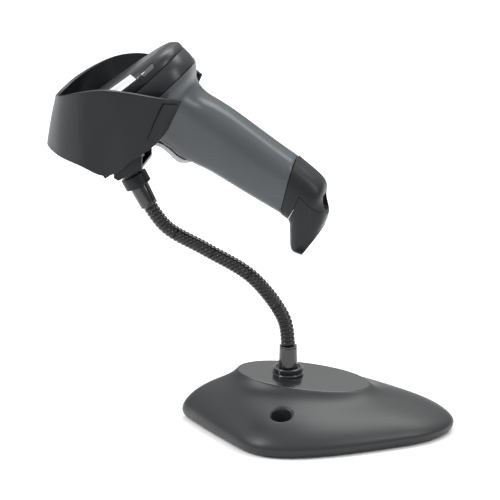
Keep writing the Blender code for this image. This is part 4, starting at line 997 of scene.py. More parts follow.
# ---- the neck ------------------------------------------------------------------------
@dataclass
class Neck:
    """The gooseneck between two glossy ferrules."""

    layout: Layout
    finishes: Finishes
    ring_radius: float = 10.1 * MM
    ring_low: float = 33.3 * MM
    ring_top: float = 39.4 * MM
    ferrule_radius: float = 6.4 * MM
    ferrule_end_radius: float = 5.95 * MM
    ferrule_top: float = 54 * MM
    ferrule_length: float = 14.2 * MM
    radius: float = 4.9 * MM
    pitch: float = 2.8 * MM
    groove: float = 0.8 * MM
    joints: int = 5
    collar_radius: float = 9 * MM
    collar_height: float = 8.2 * MM
    nipple_radius: float = 6.8 * MM
    nipple_height: float = 2.7 * MM
    top_tilt: float = math.radians(28.0)
    route: tuple[tuple[float, float], ...] = ((0.0, 54.2), (-4.3, 75.0), (-25.0, 100.5), (-55.5, 117.6),
                                              (-80.5, 130.6), (-93.6, 146.4))
    bend_reach: float = 9 * MM
    tube_radius: float = 4.2 * MM
    chamfer: float = 0.3 * MM
    # (radius over the ring's, height over its foot, rounding) up the ring's outside, in millimetres
    ring_line: Points = ((-0.2, 0.0, 0.3), (0.0, 0.5, 0.3), (0.0, 1.5, 0.3), (-0.55, 2.0, 0.3),
                         (-0.2, 2.5, 0.3))
    # (radius over the ferrule's end, distance from it, rounding) of the groove round the end, in millimetres
    groove_line: Points = ((0.0, 1.0, 0.3), (-0.25, 1.3, 0.2), (0.0, 1.6, 0.3))

    def centre_line(self) -> tuple[np.ndarray, np.ndarray]:
        """The neck's centre line. Returns: its points and how far along each is."""
        route = np.array([(x * MM, 0.0, z * MM) for x, z in self.route])
        tail = 10 * MM
        before = route[0] - (0.0, 0.0, tail)
        after = route[-1] + (-tail * math.sin(self.top_tilt), 0.0, tail * math.cos(self.top_tilt))
        steps = 24
        points = smooth_curve(np.vstack([before, route, after]), steps)[steps:-steps]
        lengths = np.concatenate([[0.0], np.cumsum(np.linalg.norm(np.diff(points, axis=0), axis=1))])
        return points + (self.layout.axis_x, 0.0, 0.0), lengths

    def at(self, s: float | np.ndarray) -> np.ndarray:
        """Points so far along the neck. Args: s: distances. Returns: the points."""
        points, lengths = self.centre_line()
        return np.stack([np.interp(s, lengths, points[:, axis]) for axis in range(3)], axis=-1)

    def top(self) -> Matrix:
        """The upper ferrule's axis."""
        end = Vector(self.centre_line()[0][-1])
        return Matrix.Translation(end) @ Matrix.Rotation(-self.top_tilt, 4, "Y")

    def conduit(self) -> None:
        """The wound conduit, in a length across each joint."""
        total = self.centre_line()[1][-1]
        turns = [round(total * k / self.joints / self.pitch) for k in range(1, self.joints)]
        cuts = [0.0, *(turn * self.pitch for turn in turns), total]
        for k in range(self.joints):
            name = f"conduit_{k + 1}"
            start, end = cuts[k], cuts[k + 1]
            line = self.at(np.linspace(start, end, 60))
            material = material_for(name, self.finishes.conduit)
            tube = wound_tube(name, line, start, self.pitch, self.radius, self.groove, material)
            middle = total * (k + 0.5) / self.joints
            tuple(self.at(middle - self.bend_reach))
            tuple(self.at(middle + self.bend_reach))
            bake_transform(tube)
            nodes = [f"neck_segment_{k + 1}"] + (["neck_segment_0"] if k == 0 else [])
            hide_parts(*nodes)

    def foot(self) -> None:
        """The ring in the base and the ferrule that stands in it."""
        stand, finish = self.layout.stand(), self.finishes.fitting
        r, low, top = self.ring_radius, self.ring_low, self.ring_top
        bore = self.ferrule_radius + GAP
        ring = [(bore, low)] + [(r + x * MM, low + z * MM, c * MM) for x, z, c in self.ring_line]
        ring += [(r, top - 0.3 * MM, 0.9 * MM), (r - 1.5 * MM, top, 0.5 * MM),
                 (bore + 0.5 * MM, top - 2.0 * MM, 0.5 * MM), (bore, top - 2.1 * MM)]
        turned_piece("foot_ring", ring, stand, True).done(finish, Body.BASE, "neck_socket_ring")
        roof, hole = low + 10 * MM + GAP, 4 * MM + GAP
        end, height = self.ferrule_end_radius, self.ferrule_top
        ferrule = [(hole, roof), (hole, low), (self.ferrule_radius, low), (self.ferrule_radius, top, 2 * MM),
                   (end, height - 1.6 * MM, 1 * MM)]
        ferrule += [(end + x * MM, height - z * MM, c * MM) for x, z, c in self.groove_line[1::-1]]
        ferrule += [(end, height, 0.4 * MM), (self.tube_radius, height)]
        turned_piece("foot_ferrule", ferrule, stand).done(finish, Body.BASE, "lower_ferrule")

    def head(self) -> None:
        """The ferrule at the neck's upper end, and the collar over it."""
        place, long, end = self.top(), self.ferrule_length, self.ferrule_end_radius
        ferrule = [(self.tube_radius, 0.0), (end, 0.0, 0.4 * MM)]
        ferrule += [(end + x * MM, z * MM, c * MM) for x, z, c in self.groove_line]
        ferrule += [(self.ferrule_radius, long, 0.4 * MM),
                    (self.ferrule_radius - self.chamfer, long + self.chamfer)]
        turned_piece("top_ferrule", ferrule, place).done(self.finishes.fitting, Body.CUP, "upper_ferrule")
        low = long + self.chamfer + GAP
        high = low + self.collar_height
        r, nipple, tip = self.collar_radius, self.nipple_radius, high + self.nipple_height
        collar = [(self.ferrule_radius, low), (r, low, 0.9 * MM), (r, high, 0.7 * MM), (nipple, high),
                  (nipple, tip, 0.3 * MM), (3 * MM, tip)]
        turned_piece("top_collar", collar, place).done(self.finishes.cup, Body.CUP, "upper_collar")

    def build(self) -> None:
        """Makes the ring, both ferrules, the collar and the conduit."""
        self.foot()
        self.head()
        self.conduit()


# ---- the cup -------------------------------------------------------------------------
@dataclass
class Cup:
    """The open cup that the scanner's head stands in, on its bracket."""

    layout: Layout
    finishes: Finishes
    neck: Neck
    wall: float = 2.5 * MM
    half_width: float = 53 * MM
    foot_half_width: float = 43 * MM
    rim: Points = ((-64.0, 0.68, 228.0), (-77.0, 0.925, 232.0), (-97.0, 0.99, 235.5), (-114.0, 1.0, 236.5),
                   (-131.0, 0.92, 233.2), (-147.5, 0.56, 226.0), (-155.0, 0.0, 220.5))
    edge: Points = ((-75.5, 0.84, 205.0), (-82.0, 0.985, 198.0), (-97.0, 1.0, 187.2), (-114.0, 0.89, 175.4),
                    (-132.0, 0.92, 182.0), (-150.5, 0.62, 185.6), (-162.0, 0.0, 187.0))
    bulge: float = 0.5 * MM
    ridge_top: float = 2.3
    ridge_foot: float = 4.2
    ridge_width: float = 0.45
    ridge_height: float = 1.2 * MM
    # the ears' panels: down the wall in shares of it, then along the rim in spans of its curve
    panel_span: tuple[float, float] = (0.10, 0.80)
    panel_start: float = 0.14
    panel_width: float = 0.66
    panel_widening: float = 0.52
    panel_height: float = 0.85 * MM
    floor_start: tuple[float, float] = (-115.5 * MM, 173.3 * MM)
    floor_length: float = 24 * MM
    floor_slope: float = math.radians(35.2)
    floor_thickness: float = 2.5 * MM
    screw_place: tuple[float, float] = (8.5 * MM, 9 * MM)
    screw_radius: float = 1.7 * MM
    bracket_half_width: float = 17.5 * MM
    bracket_front: float = -114 * MM
    bracket_rear: float = -95 * MM
    bracket_wall: float = 2 * MM
    bracket_open: float = 5 * MM
    bracket_chamfer: tuple[float, float] = (3.0 * MM, 3.4 * MM)

    def surface(self, steps: int, rows: int) -> tuple[np.ndarray, np.ndarray]:
        """The cup's outer face from ear to ear.

        Args: steps: to a span. rows: down it.
        Returns: points, normals.
        """
        rails = []
        for points, half in ((self.rim, self.half_width), (self.edge, self.foot_half_width)):
            near = [(x * MM, -share * half, z * MM) for x, share, z in points]
            far = [(x, -y, z) for x, y, z in reversed(near[:-1])]
            rails.append(smooth_curve(near + far, steps))
        v = np.linspace(0.0, 1.0, rows)[None, :, None]
        grid = rails[0][:, None, :] * (1 - v) + rails[1][:, None, :] * v
        normal = normals_of(grid)
        if np.sum(normal[:, :, 1] * grid[:, :, 1]) < 0:
            normal = -normal
        spans = len(self.rim) - 1
        u = np.linspace(0.0, 2.0 * spans, len(grid))[:, None, None]
        fold = np.minimum(u, 2 * spans - u) - (self.ridge_top + (self.ridge_foot - self.ridge_top) * v)
        ridge = self.ridge_height * np.exp(-(fold / self.ridge_width) ** 2)
        grid = grid + (self.bulge + ridge) * np.sin(np.pi * v) * normal + (self.layout.axis_x, 0.0, 0.0)
        return grid, normal

    def floor_place(self) -> Matrix:
        """The axes of the cup's floor: X up the slope, Z off its upper face."""
        x, z = self.floor_start
        turn = Matrix.Rotation(-self.floor_slope, 4, "Y")
        return self.layout.stand() @ Matrix.Translation((x, 0, z)) @ turn

    def screw_holes(self, low: float, high: float) -> list[Form]:
        """The holes of the two screws. Args: low, high: their ends off the floor. Returns: the tools."""
        x, y = self.screw_place
        hole = Form.bar(self.screw_radius, low, high, 32)
        return [hole.moved(self.floor_place() @ Matrix.Translation((x, side * y, 0.0))) for side, _ in SIDES]

    def shell(self) -> None:
        """The cup's wall with its floor."""
        outer, normal = self.surface(16, 30)
        blank = Blank("cup_wall", Form.slab(outer, outer - self.wall * normal)).eased(0.85 * MM, 60.0, 4)
        wide, thick = self.foot_half_width * 0.89 - 0.6 * self.wall, self.floor_thickness
        floor = Form.box((0.0, -wide, 0.0), (self.floor_length, wide, thick)).moved(self.floor_place())
        blank.cut(floor, operation="UNION").cut(*self.screw_holes(-5 * MM, thick - 0.3 * MM))
        blank.done(self.finishes.cup, Body.CUP, "cup_shell")

    def ears(self) -> None:
        """The raised panels on the ears, which narrow towards the top."""
        steps, rows = 48, 45
        outer, normal = self.surface(steps, rows)
        low, high = self.panel_span
        across, down = np.linspace(0.0, 1.0, 40), np.linspace(low, high, 30)
        width = self.panel_width + self.panel_widening * (down[None, :] - low) / (high - low)
        u = (self.panel_start + width * across[:, None]) * steps
        v = np.broadcast_to(down[None, :] * (rows - 1), u.shape)
        i, j = np.floor(u).astype(int), np.minimum(np.floor(v).astype(int), rows - 2)
        fu, fv = (u - i)[:, :, None], (v - j)[:, :, None]

        def sample(grid: np.ndarray) -> np.ndarray:
            """The grid's values at u and v."""
            near = grid[i, j] * (1 - fv) + grid[i, j + 1] * fv
            return near * (1 - fu) + (grid[i + 1, j] * (1 - fv) + grid[i + 1, j + 1] * fv) * fu

        for side, word in SIDES:
            part = sample(outer) * (1.0, -side, 1.0)
            out = sample(normal) * (1.0, -side, 1.0)
            form = Form.slab(part + (GAP + self.panel_height) * out, part + GAP * out)
            blank = Blank(f"ear_panel_{word}", form)
            blank.eased(0.4 * MM, 60.0, 3).done(self.finishes.ear, Body.CUP, f"ear_pad_{word}")

    def bracket(self) -> None:
        """The hollow block under the floor."""
        end = self.neck.top()
        axis, across = end.to_3x3() @ Vector((0, 0, 1)), end.to_3x3() @ Vector((1, 0, 0))
        neck = self.neck
        rise = neck.ferrule_length + neck.chamfer + GAP + neck.collar_height + neck.nipple_height + GAP
        seat = end.translation + rise * axis
        under = self.floor_place()
        along, down = under.to_3x3() @ Vector((1, 0, 0)), under.to_3x3() @ Vector((0, 0, -1))

        def on_seat(x: float) -> tuple[float, float]:
            """The seat's face over x."""
            return x, seat.z + (x - seat.x) * across.z / across.x

        def under_floor(x: float, gap: float) -> tuple[float, float]:
            """A face under the floor over x."""
            start = under.translation + gap * down
            return x, start.z + (x - start.x) * along.z / along.x

        front, rear = self.bracket_front + self.layout.axis_x, self.bracket_rear + self.layout.axis_x
        wall, half = self.bracket_wall, self.bracket_half_width
        back, (cut, rise) = rear + self.bracket_open, self.bracket_chamfer
        outline = [on_seat(front + cut), on_seat(rear), under_floor(rear, GAP), under_floor(front, GAP),
                   (front, on_seat(front)[1] + rise)]
        low = [on_seat(front + wall), on_seat(back)]
        high = [under_floor(back, GAP + wall), under_floor(front + wall, GAP + wall)]
        hollow = [(x, z + 1.2 * wall) for x, z in low] + high
        blank = Blank("cup_foot", Form.prism(outline, -half, half)).eased(0.7 * MM, 20.0, 3)
        blank.cut(Form.prism(hollow, -half + wall, half - wall)).eased(0.35 * MM, 70.0, 2)
        blank.cut(*self.screw_holes(-6 * MM, 1 * MM))
        blank.done(self.finishes.cup, Body.CUP, "cup_bracket")

    def build(self) -> None:
        """Makes the cup."""
        self.shell()
        self.ears()
        self.bracket()
        recoat(self.finishes.screw, "cup_screw_left", "cup_screw_right")
        recoat(self.finishes.weight, "cup_magnet")


# ---- the scanner ---------------------------------------------------------------------
def oval_ring(front: Sequence[float], back: Sequence[float], half_width: float, power: float,
              back_power: float, sides: int) -> np.ndarray:
    """A superellipse across the line from front to back.

    Args:
        front, back: (x, z) of its two ends.
        half_width: its half width.
        power, back_power: its squareness towards the front and the back.
        sides: how many points it has.

    Returns:
        The ring's points.
    """
    front_point = np.array([front[0], 0.0, front[1]])
    back_point = np.array([back[0], 0.0, back[1]])
    centre, arm = (front_point + back_point) / 2, (back_point - front_point) / 2
    angle = 2 * np.pi * (np.arange(sides) + 0.5) / sides
    c, s = np.cos(angle), np.sin(angle)
    blend = 1 / (1 + np.exp(-10 * c))
    n = power + (back_power - power) * blend
    along = np.sign(c) * np.abs(c) ** (2 / n)
    across = np.sign(s) * np.abs(s) ** (2 / n)
    ring = centre + arm * along[:, None]
    ring[:, 1] += half_width * across
    return ring


@dataclass
class ScannerPart:
    """A part of the scanner, laid out in the scanner's axes."""

    layout: Layout
    finishes: Finishes

    def placed(self, form: Form) -> Form:
        """A form moved from the scanner's axes to the frame's."""
        return form.moved(self.layout.scanner())


@dataclass
class Head(ScannerPart):
    """The scanner's head: top cover, middle housing, nose and what is behind the window."""

    wall: float = 2.2 * MM
    half_width: float = 33.5 * MM
    back: float = 32.5 * MM
    squareness: tuple[float, float] = (3.4, 2.4)
    nose_top: float = -57 * MM
    nose_bottom: float = -46 * MM
    top: float = 24 * MM
    fall: float = 0.107
    lip: float = -14.4 * MM
    cover_seam: float = 12 * MM
    grip_seam: float = 0.0
    bezel_depth: float = 11 * MM
    mouth: tuple[float, ...] = (-6.5 * MM, -37 * MM, 26 * MM, 4 * MM)  # upper, lower, half width, corner
    window_thickness: float = 1.5 * MM
    window_inset: float = 3.2 * MM
    lens_place: tuple[float, float] = (14.8 * MM, 17.4 * MM)
    lens_length: float = 8.8 * MM
    lens_height: float = 3 * MM
    seam_rounding: float = 0.35 * MM
    eye_radius: float = 1.35 * MM
    eye_offset: tuple[float, float] = (7.4 * MM, 0.3 * MM)
    # the band that carries the painted highlight: its span under the top, its rear end, how far it stands
    # out, how deep it goes
    highlight_span: tuple[float, float] = (5.6 * MM, 0.6 * MM)
    highlight_rear: float = 6.5 * MM
    highlight_proud: float = 0.14 * MM
    highlight_depth: float = 0.7 * MM
    # (depth under the top, distance drawn in) over the top's rounded edge, in millimetres
    crown_line: Points = ((6.5, 0.25), (5.4, 0.6), (4.6, 1.15), (3.0, 2.55), (2.0, 3.5), (1.3, 4.5),
                          (0.7, 6.2), (0.35, 8.0), (0.1, 9.8))
    panel_line: Points = ((0.06, 10.3), (0.4, 10.55), (0.4, 10.95), (0.02, 11.2))
    panel: Points = ((0.0, 13.0), (0.0, 20))
    sides: int = 160

    def ring(self, z: float, draw_in: float) -> np.ndarray:
        """The head seen from above at a height.

        Args: z: the height. draw_in: how far in.
        Returns: the ring.
        """
        share = (self.top - z) / (self.top - self.lip)
        front = self.nose_top + share * (self.nose_bottom - self.nose_top) + draw_in
        back, half = self.back - draw_in, self.half_width - draw_in
        ring = oval_ring((front, z), (back, z), half, *self.squareness, self.sides)
        lift = max(0.0, (z - self.cover_seam) / (self.top - self.cover_seam))
        ring[:, 2] -= self.fall * lift * ring[:, 0]
        return ring

    def crown(self, drop: float = 0.0, grooved: bool = True) -> list[tuple[float, float]]:
        """Heights and draw-ins over the top's edge. Args: drop: lower. grooved: with the panel's line."""
        line = [*self.crown_line, *(self.panel_line if grooved else ()), *self.panel]
        return [(self.top - z * MM - drop, d * MM + drop) for z, d in line]

    def seam(self, z: float, way: int) -> list[tuple[float, float]]:
        """Heights and draw-ins over a seam's soft edge. Args: z: the seam. way: 1 over it, -1 under it."""
        soft = self.seam_rounding
        return [(z, soft), (z + way * 0.4 * soft, 0.3 * soft), (z + way * soft, 0.0)]

    def nose_plane(self, depth: float) -> Form:
        """Everything in front of a plane parallel to the nose.

        Args: depth: behind the nose.
        Returns: a tool.
        """
        block = Form.box((-90 * MM, -60 * MM, -90 * MM), (depth, 60 * MM, 60 * MM))
        return block.moved(self.nose_place())

    def nose_place(self) -> Matrix:
        """The nose's axes: X into the head, Z up its sloping face."""
        slope = math.atan2(self.nose_bottom - self.nose_top, self.top - self.lip)
        return Matrix.Translation((self.nose_top, 0.0, self.top)) @ Matrix.Rotation(-slope, 4, "Y")

    def cover(self) -> None:
        """The top cover, with a lined panel, and slots for the side lenses."""
        low = self.cover_seam + GAP / 2
        levels = self.seam(low, 1) + [(15 * MM, 0.02 * MM)]
        outer = [self.ring(z, d) for z, d in levels + self.crown()]
        blank = Blank("top_cover", self.placed(Form.loft(outer)))
        inner = [self.ring(z, d) for z, d in [(low - 5 * MM, self.wall), (15 * MM, self.wall)]]
        inner += [self.ring(z, d) for z, d in self.crown(self.wall, False)[::2]]
        blank.cut(self.placed(Form.loft(inner)), self.placed(self.nose_plane(self.bezel_depth + GAP)))
        lenses = [self.placed(self.lens_slot(side, GAP)) for side in (-1, 1)]
        eyes = [self.placed(self.eye(side, GAP * 0.7)) for side in (-1, 1)]
        blank.cut(*lenses, *eyes)
        blank.done(self.finishes.cover, Body.SCANNER, "head_top_cover", sharp=40.0)

    def lens_slot(self, side: int, margin: float) -> Form:
        """The side lens's outline run through the wall.

        Args: side: -1 or 1. margin: round it.
        Returns: it.
        """
        x, z = self.lens_place
        long, high = self.lens_length / 2 + margin, self.lens_height / 2 + margin
        corner = 0.8 * MM
        outline = [(x, z - high), (x + long, z - high, corner), (x + long, z + high, corner),
                   (x - long, z + high, corner), (x - long, z - high, corner), (x - 0.01 * MM, z - high)]
        near, far = sorted((side * self.half_width / 2, side * self.half_width * 1.2))
        return Form.prism(rounded(outline, 5), near, far)

    def eye(self, side: int, margin: float) -> Form:
        """The small round sensor in front of the side lens. Args: as for the slot. Returns: it."""
        (x, z), (before, over) = self.lens_place, self.eye_offset
        place = Matrix.Translation((x - before, 0.0, z + over))
        near, far = self.half_width * 0.6, self.half_width * 1.1
        form = Form.bar(self.eye_radius + margin, near, far, 40)
        return form.moved(place @ Matrix.Rotation(math.radians(-90 * side), 4, "X"))

    def side_details(self) -> None:
        """The side lenses, the round eyes and the light grey band round the top panel, which is a painted
        highlight.
        """
        shell = [self.ring(z, d - 0.18 * MM) for z, d in [(5 * MM, 0.0)] + self.crown()]
        core = [self.ring(z, d) for z, d in [(2 * MM, self.wall + 1.2 * MM)]]
        core += [self.ring(z, d) for z, d in self.crown(self.wall + 1.2 * MM, False)[::2]]
        shell_form, core_form = self.placed(Form.loft(shell)), self.placed(Form.loft(core))
        for side, word in SIDES:
            blank = Blank(f"side_window_{word}", self.placed(self.lens_slot(side, 0.0)))
            blank.cut(shell_form, operation="INTERSECT").cut(core_form)
            blank.done(self.finishes.side_lens, Body.SCANNER, f"side_lens_{word}")
            blank = Blank(f"side_eye_{word}", self.placed(self.eye(side, 0.0)))
            blank.cut(shell_form, operation="INTERSECT").cut(core_form)
            blank.eased(0.3 * MM, 50.0).done(self.finishes.bezel, Body.SCANNER)
        self.highlight_band()

    def highlight_band(self) -> None:
        """A light grey band set into the facet round the front of the top panel: its colour is a painted
        highlight.
        """
        low, high = (self.top - depth for depth in self.highlight_span)
        levels = [(z, d) for z, d in self.crown() if low <= z <= high]
        rings = np.array([self.ring(z, d) for z, d in levels])
        keep = np.where(rings[0][:, 0] < self.highlight_rear)[0]
        columns = rings[:, keep].transpose(1, 0, 2)
        normal = normals_of(columns)
        if np.sum(normal[:, :, 2]) < 0:
            normal = -normal
        form = Form.slab(columns + self.highlight_proud * normal, columns - self.highlight_depth * normal)
        blank = Blank("top_highlight_band", self.placed(form))
        blank.eased(0.12 * MM, 60.0, 2)
        blank.cut(self.placed(self.nose_plane(self.bezel_depth + 2 * GAP)))
        # the band's light grey is a painted highlight on the facet
        blank.done(self.finishes.highlight_band, Body.SCANNER)

    def middle(self) -> None:
        """The middle housing, a ring between the two seams."""
        low, high = self.grip_seam + GAP / 2, self.cover_seam - GAP / 2
        levels = self.seam(low, 1) + [(6 * MM, -0.15 * MM)] + self.seam(high, -1)[::-1]
        rings = [self.ring(z, d) for z, d in levels]
        rings += [self.ring(z, self.wall) for z in (high, low)]
        blank = Blank("middle_housing", self.placed(Form.loft(rings, wrap=True)))
        blank.cut(self.placed(self.nose_plane(self.bezel_depth + GAP)))
        blank.done(self.finishes.cover, Body.SCANNER, "head_mid_housing")

    def nose(self) -> None:
        """The bezel round the window, and the window."""
        lip = self.lip
        levels = [(lip, 3.0 * MM), (lip + 0.9 * MM, 1.2 * MM), (lip + 3 * MM, 0.0), (15 * MM, 0.0)]
        form = Form.loft([self.ring(z, d) for z, d in levels + self.crown()])
        blank = Blank("nose_frame", self.placed(form))
        blank.cut(self.placed(self.nose_plane(self.bezel_depth)), operation="INTERSECT")
        high, low, wide, corner = self.mouth
        place = self.layout.scanner() @ self.nose_place()

        def mouth(near: float, far: float, margin: float) -> Form:
            """The mouth's rounded outline run along the nose's X. Args: near, far: x. margin: drawn in."""
            side, foot, head = wide - margin, low + margin, high - margin
            line = [(0.0, foot), (side, foot, corner), (side, head, corner), (-side, head, corner),
                    (-side, foot, corner), (-0.01 * MM, foot)]
            rings = [np.array([(x, y, z) for y, z in rounded(line, 7)]) for x in (near, far)]
            return Form.loft(rings)

        def flared(x: float, grow: float) -> np.ndarray:
            """The mouth's outline as far as its last corner, wider. Args: x: where. grow: each side."""
            share, middle = 1 + grow / wide, (high + low) / 2
            outline = mouth(0, 1, 0.0).points[:4 * 8]
            return np.array([(x, y * share, (z - middle) * share + middle) for _, y, z in outline])

        flares = ((-9 * MM, 9 * MM), (0.0, 2.0 * MM), (2.6 * MM, 0.0), (4 * MM, -0.4 * MM))
        flare = Form.loft([flared(x, grow) for x, grow in flares])
        blank.cut(mouth(-9 * MM, self.bezel_depth + 9 * MM, 0.0).moved(place), flare.moved(place))
        blank.eased(0.3 * MM, 60.0, 2)
        blank.done(self.finishes.bezel, Body.SCANNER, "nose_bezel")
        near = self.bezel_depth - self.window_inset
        pane = Blank("window_pane", mouth(near, near + self.window_thickness, GAP).moved(place))
        pane.eased(0.2 * MM, 60.0, 2).done(self.finishes.window, Body.SCANNER, "scan_window")

    def build(self) -> None:
        """Makes the head."""
        self.cover()
        self.side_details()
        self.middle()
        self.nose()
        recoat(self.finishes.engine, "scan_engine")
        recoat(self.finishes.optic, "camera_lens")
        recoat(self.finishes.lamp, "aimer_lens", "lamp_left", "lamp_right")
        recoat(self.finishes.board, "lamp_board_left", "lamp_board_right", "main_board")
        recoat(self.finishes.buzzer, "beeper")


@dataclass
class Grip(ScannerPart):
    """The lower housing in two halves, the trigger, and the end of the grip."""

    head: Head
    wall: float = 2.2 * MM
    trigger_half: float = 9 * MM
    pin: tuple[float, float] = (-14.9 * MM, -21.3 * MM)
    # front (x, z), back (x, z), half width, squareness towards the front and the back
    stations: Points = (
        (-54.2, -0.3, 32.4, -0.3, 33.4, 3.4, 2.4), (-50.0, -8.0, 29.6, -4.0, 32.2, 3.2, 2.4),
        (-43.5, -14.8, 25.4, -9.0, 28.6, 3.0, 2.4), (-22.0, -18.2, 23.8, -15.5, 24.0, 2.8, 2.4),
        (-17.4, -30.0, 24.6, -22.0, 20.6, 2.7, 2.5), (-16.6, -39.5, 27.6, -31.0, 18.7, 2.6, 2.6),
        (-12.2, -50.0, 30.4, -41.0, 17.8, 2.6, 2.6), (-7.4, -61.5, 33.0, -53.0, 17.6, 2.6, 2.6),
        (-0.4, -84.0, 37.4, -74.5, 17.7, 2.6, 2.6), (8.8, -112.4, 41.2, -91.2, 17.8, 2.6, 2.6))
    butt: Points = ((8.4, -113.0, 41.9, -91.6, 17.8, 2.6, 2.6), (9.4, -119.0, 44.0, -114.6, 17.6, 2.8, 2.8),
                    (4.6, -125.0, 37.0, -124.0, 17.0, 2.8, 2.8), (-3.0, -134.5, 31.6, -132.6, 15.4, 2.8, 2.8),
                    (-0.8, -141.8, 23.5, -137.4, 12.6, 2.6, 2.6))
    foot_line: Points = ((29.2, -110.4, 0), (30.4, -126.0, 2), (36.0, -134.0, 0), (24.0, -146.0, 0),
                         (-8.0, -148.0, 0), (-8.0, -126.0, 0), (10.2, -117.8, 2), (18.6, -115.4, 3))
    blade_front: Points = ((-24.2, -23.0), (-21.8, -26.6), (-20.6, -32.0), (-20.3, -38.0), (-19.0, -42.8),
                           (-15.4, -46.4), (-11.6, -48.6))
    blade_back: Points = ((-20.4, -23.0), (-18.6, -26.4), (-17.3, -31.5), (-16.6, -38.0), (-15.0, -42.8),
                          (-13.2, -44.8), (-12.0, -46.0))
    blade_sag: float = 0.9 * MM
    arm_line: Points = ((-21.0, -28.0), (-18.4, -28.4), (-16.6, -24.4), (-13.2, -23.6), (-12.3, -21.0),
                        (-14.2, -18.8), (-17.0, -19.6), (-21.0, -23.6))
    pin_hole: float = 1.33 * MM
    # (front, low, rear, high) of the rooms for the arm, the blade and its tail, in millimetres
    rooms: Points = ((-30, -29, -10.4, -17.4), (-30, -49.4, -12.6, -21.8), (-20, -49.4, -7.6, -42.2))
    port_place: tuple[float, float] = (33.5 * MM, -119.5 * MM)
    port_lean: float = math.radians(16.0)
    port_half: tuple[float, float] = (12.5 * MM / 2, 7.6 * MM / 2)
    port_depth: float = 15 * MM
    port_wall: float = 1.2 * MM
    sides: int = 128

    def rings(self, stations: Points, steps: int, inner: float = 0.0) -> np.ndarray:
        """Rings through stations. Args: stations: as listed. steps: to a span. inner: drawn in."""
        out = []
        for fx, fz, bx, bz, half, power, back_power in smooth_curve(stations, steps):
            run = np.array([bx - fx, bz - fz])
            run /= np.linalg.norm(run)
            front = (fx * MM + inner * run[0], fz * MM + inner * run[1])
            back = (bx * MM - inner * run[0], bz * MM - inner * run[1])
            out.append(oval_ring(front, back, half * MM - inner, power, back_power, self.sides))
        return np.array(out)

    def halves(self) -> None:
        """Both halves of the housing."""
        outer = self.rings(self.stations, 8)
        inner = self.rings(self.stations, 8, self.wall)
        middle = self.sides // 2
        tools = self.trigger_room()
        for side, word in reversed(SIDES):
            keep = slice(0, middle) if side > 0 else slice(middle, self.sides)
            skins = []
            for rings in (outer, inner):
                part = rings[:, keep]
                first, last = part[:, :1].copy(), part[:, -1:].copy()
                first[:, :, 1] = last[:, :, 1] = side * GAP / 2
                skins.append(np.concatenate([first, part, last], axis=1))
            blank = Blank(f"grip_{word}", self.placed(Form.slab(*skins))).eased(0.22 * MM, 60.0, 2)
            blank.cut(self.placed(self.head.nose_plane(self.head.bezel_depth + GAP)), *tools)
            blank.done(self.finishes.grip, Body.SCANNER, f"grip_half_{word}", sharp=36.0)

    def trigger_room(self) -> list[Form]:
        """The slot and hollow that the trigger moves in. Returns: the tools that cut them."""
        wide, arm = self.trigger_half + GAP, self.trigger_half / 2 + GAP
        boxes = []
        for half, room in zip((arm, wide, wide), self.rooms):
            front, low, rear, high = (value * MM for value in room)
            boxes.append(Form.box((front, -half, low), (rear, half, high)))
        return [self.placed(form) for form in boxes]

    def trigger(self) -> None:
        """The thin curled blade, with its arm on the pin."""
        front, back = (smooth_curve(line, 8) * MM for line in (self.blade_front, self.blade_back))
        across = np.linspace(-1.0, 1.0, 25)
        sag = self.blade_sag * across ** 2
        run = np.gradient(front, axis=0)
        run /= np.linalg.norm(run, axis=1)[:, None]
        inward = np.stack([-run[:, 1], run[:, 0]], axis=1)
        if inward[len(inward) // 2, 0] < 0:
            inward = -inward
        skins = []
        for line, bend in ((front, 1.0), (back, 0.35)):
            grid = np.zeros((len(line), len(across), 3))
            grid[:, :, 0] = line[:, None, 0] + bend * sag[None, :] * inward[:, None, 0]
            grid[:, :, 1] = across[None, :] * self.trigger_half
            grid[:, :, 2] = line[:, None, 1] + bend * sag[None, :] * inward[:, None, 1]
            skins.append(grid)
        blank = Blank("trigger_blade", self.placed(Form.slab(*skins))).eased(0.55 * MM, 60.0, 4)
        half = self.trigger_half / 2
        arm = Form.prism([(x * MM, z * MM) for x, z in self.arm_line], -half, half)
        blank.cut(self.placed(arm), operation="UNION")
        turn = Matrix.Rotation(math.radians(90), 4, "X")
        place = Matrix.Translation((self.pin[0], 0.0, self.pin[1])) @ turn
        blank.cut(self.placed(Form.bar(self.pin_hole, -half - MM, half + MM, 32).moved(place)))
        # the blade's light grey is a painted reflection of the pale floor
        blank.done(self.finishes.trigger, Body.TRIGGER, "trigger")
        recoat(self.finishes.screw, "trigger_pin")

    def port_block(self, half: tuple[float, float], low: float, high: float, corner: float) -> Form:
        """A block along the cable port.

        Args: half: widths. low, high: ends. corner: rounding.
        Returns: it.
        """
        wide, tall = half
        line = [(0.0, -tall), (wide, -tall, corner), (wide, tall, corner), (-wide, tall, corner),
                (-wide, -tall, corner), (-0.01 * MM, -tall)]
        rings = [np.array([(x, y, z) for y, x in rounded(line, 5)]) for z in (low, high)]
        turn = Matrix.Translation((self.port_place[0], 0.0, self.port_place[1]))
        return self.placed(Form.loft(rings).moved(turn @ Matrix.Rotation(-self.port_lean, 4, "Y")))

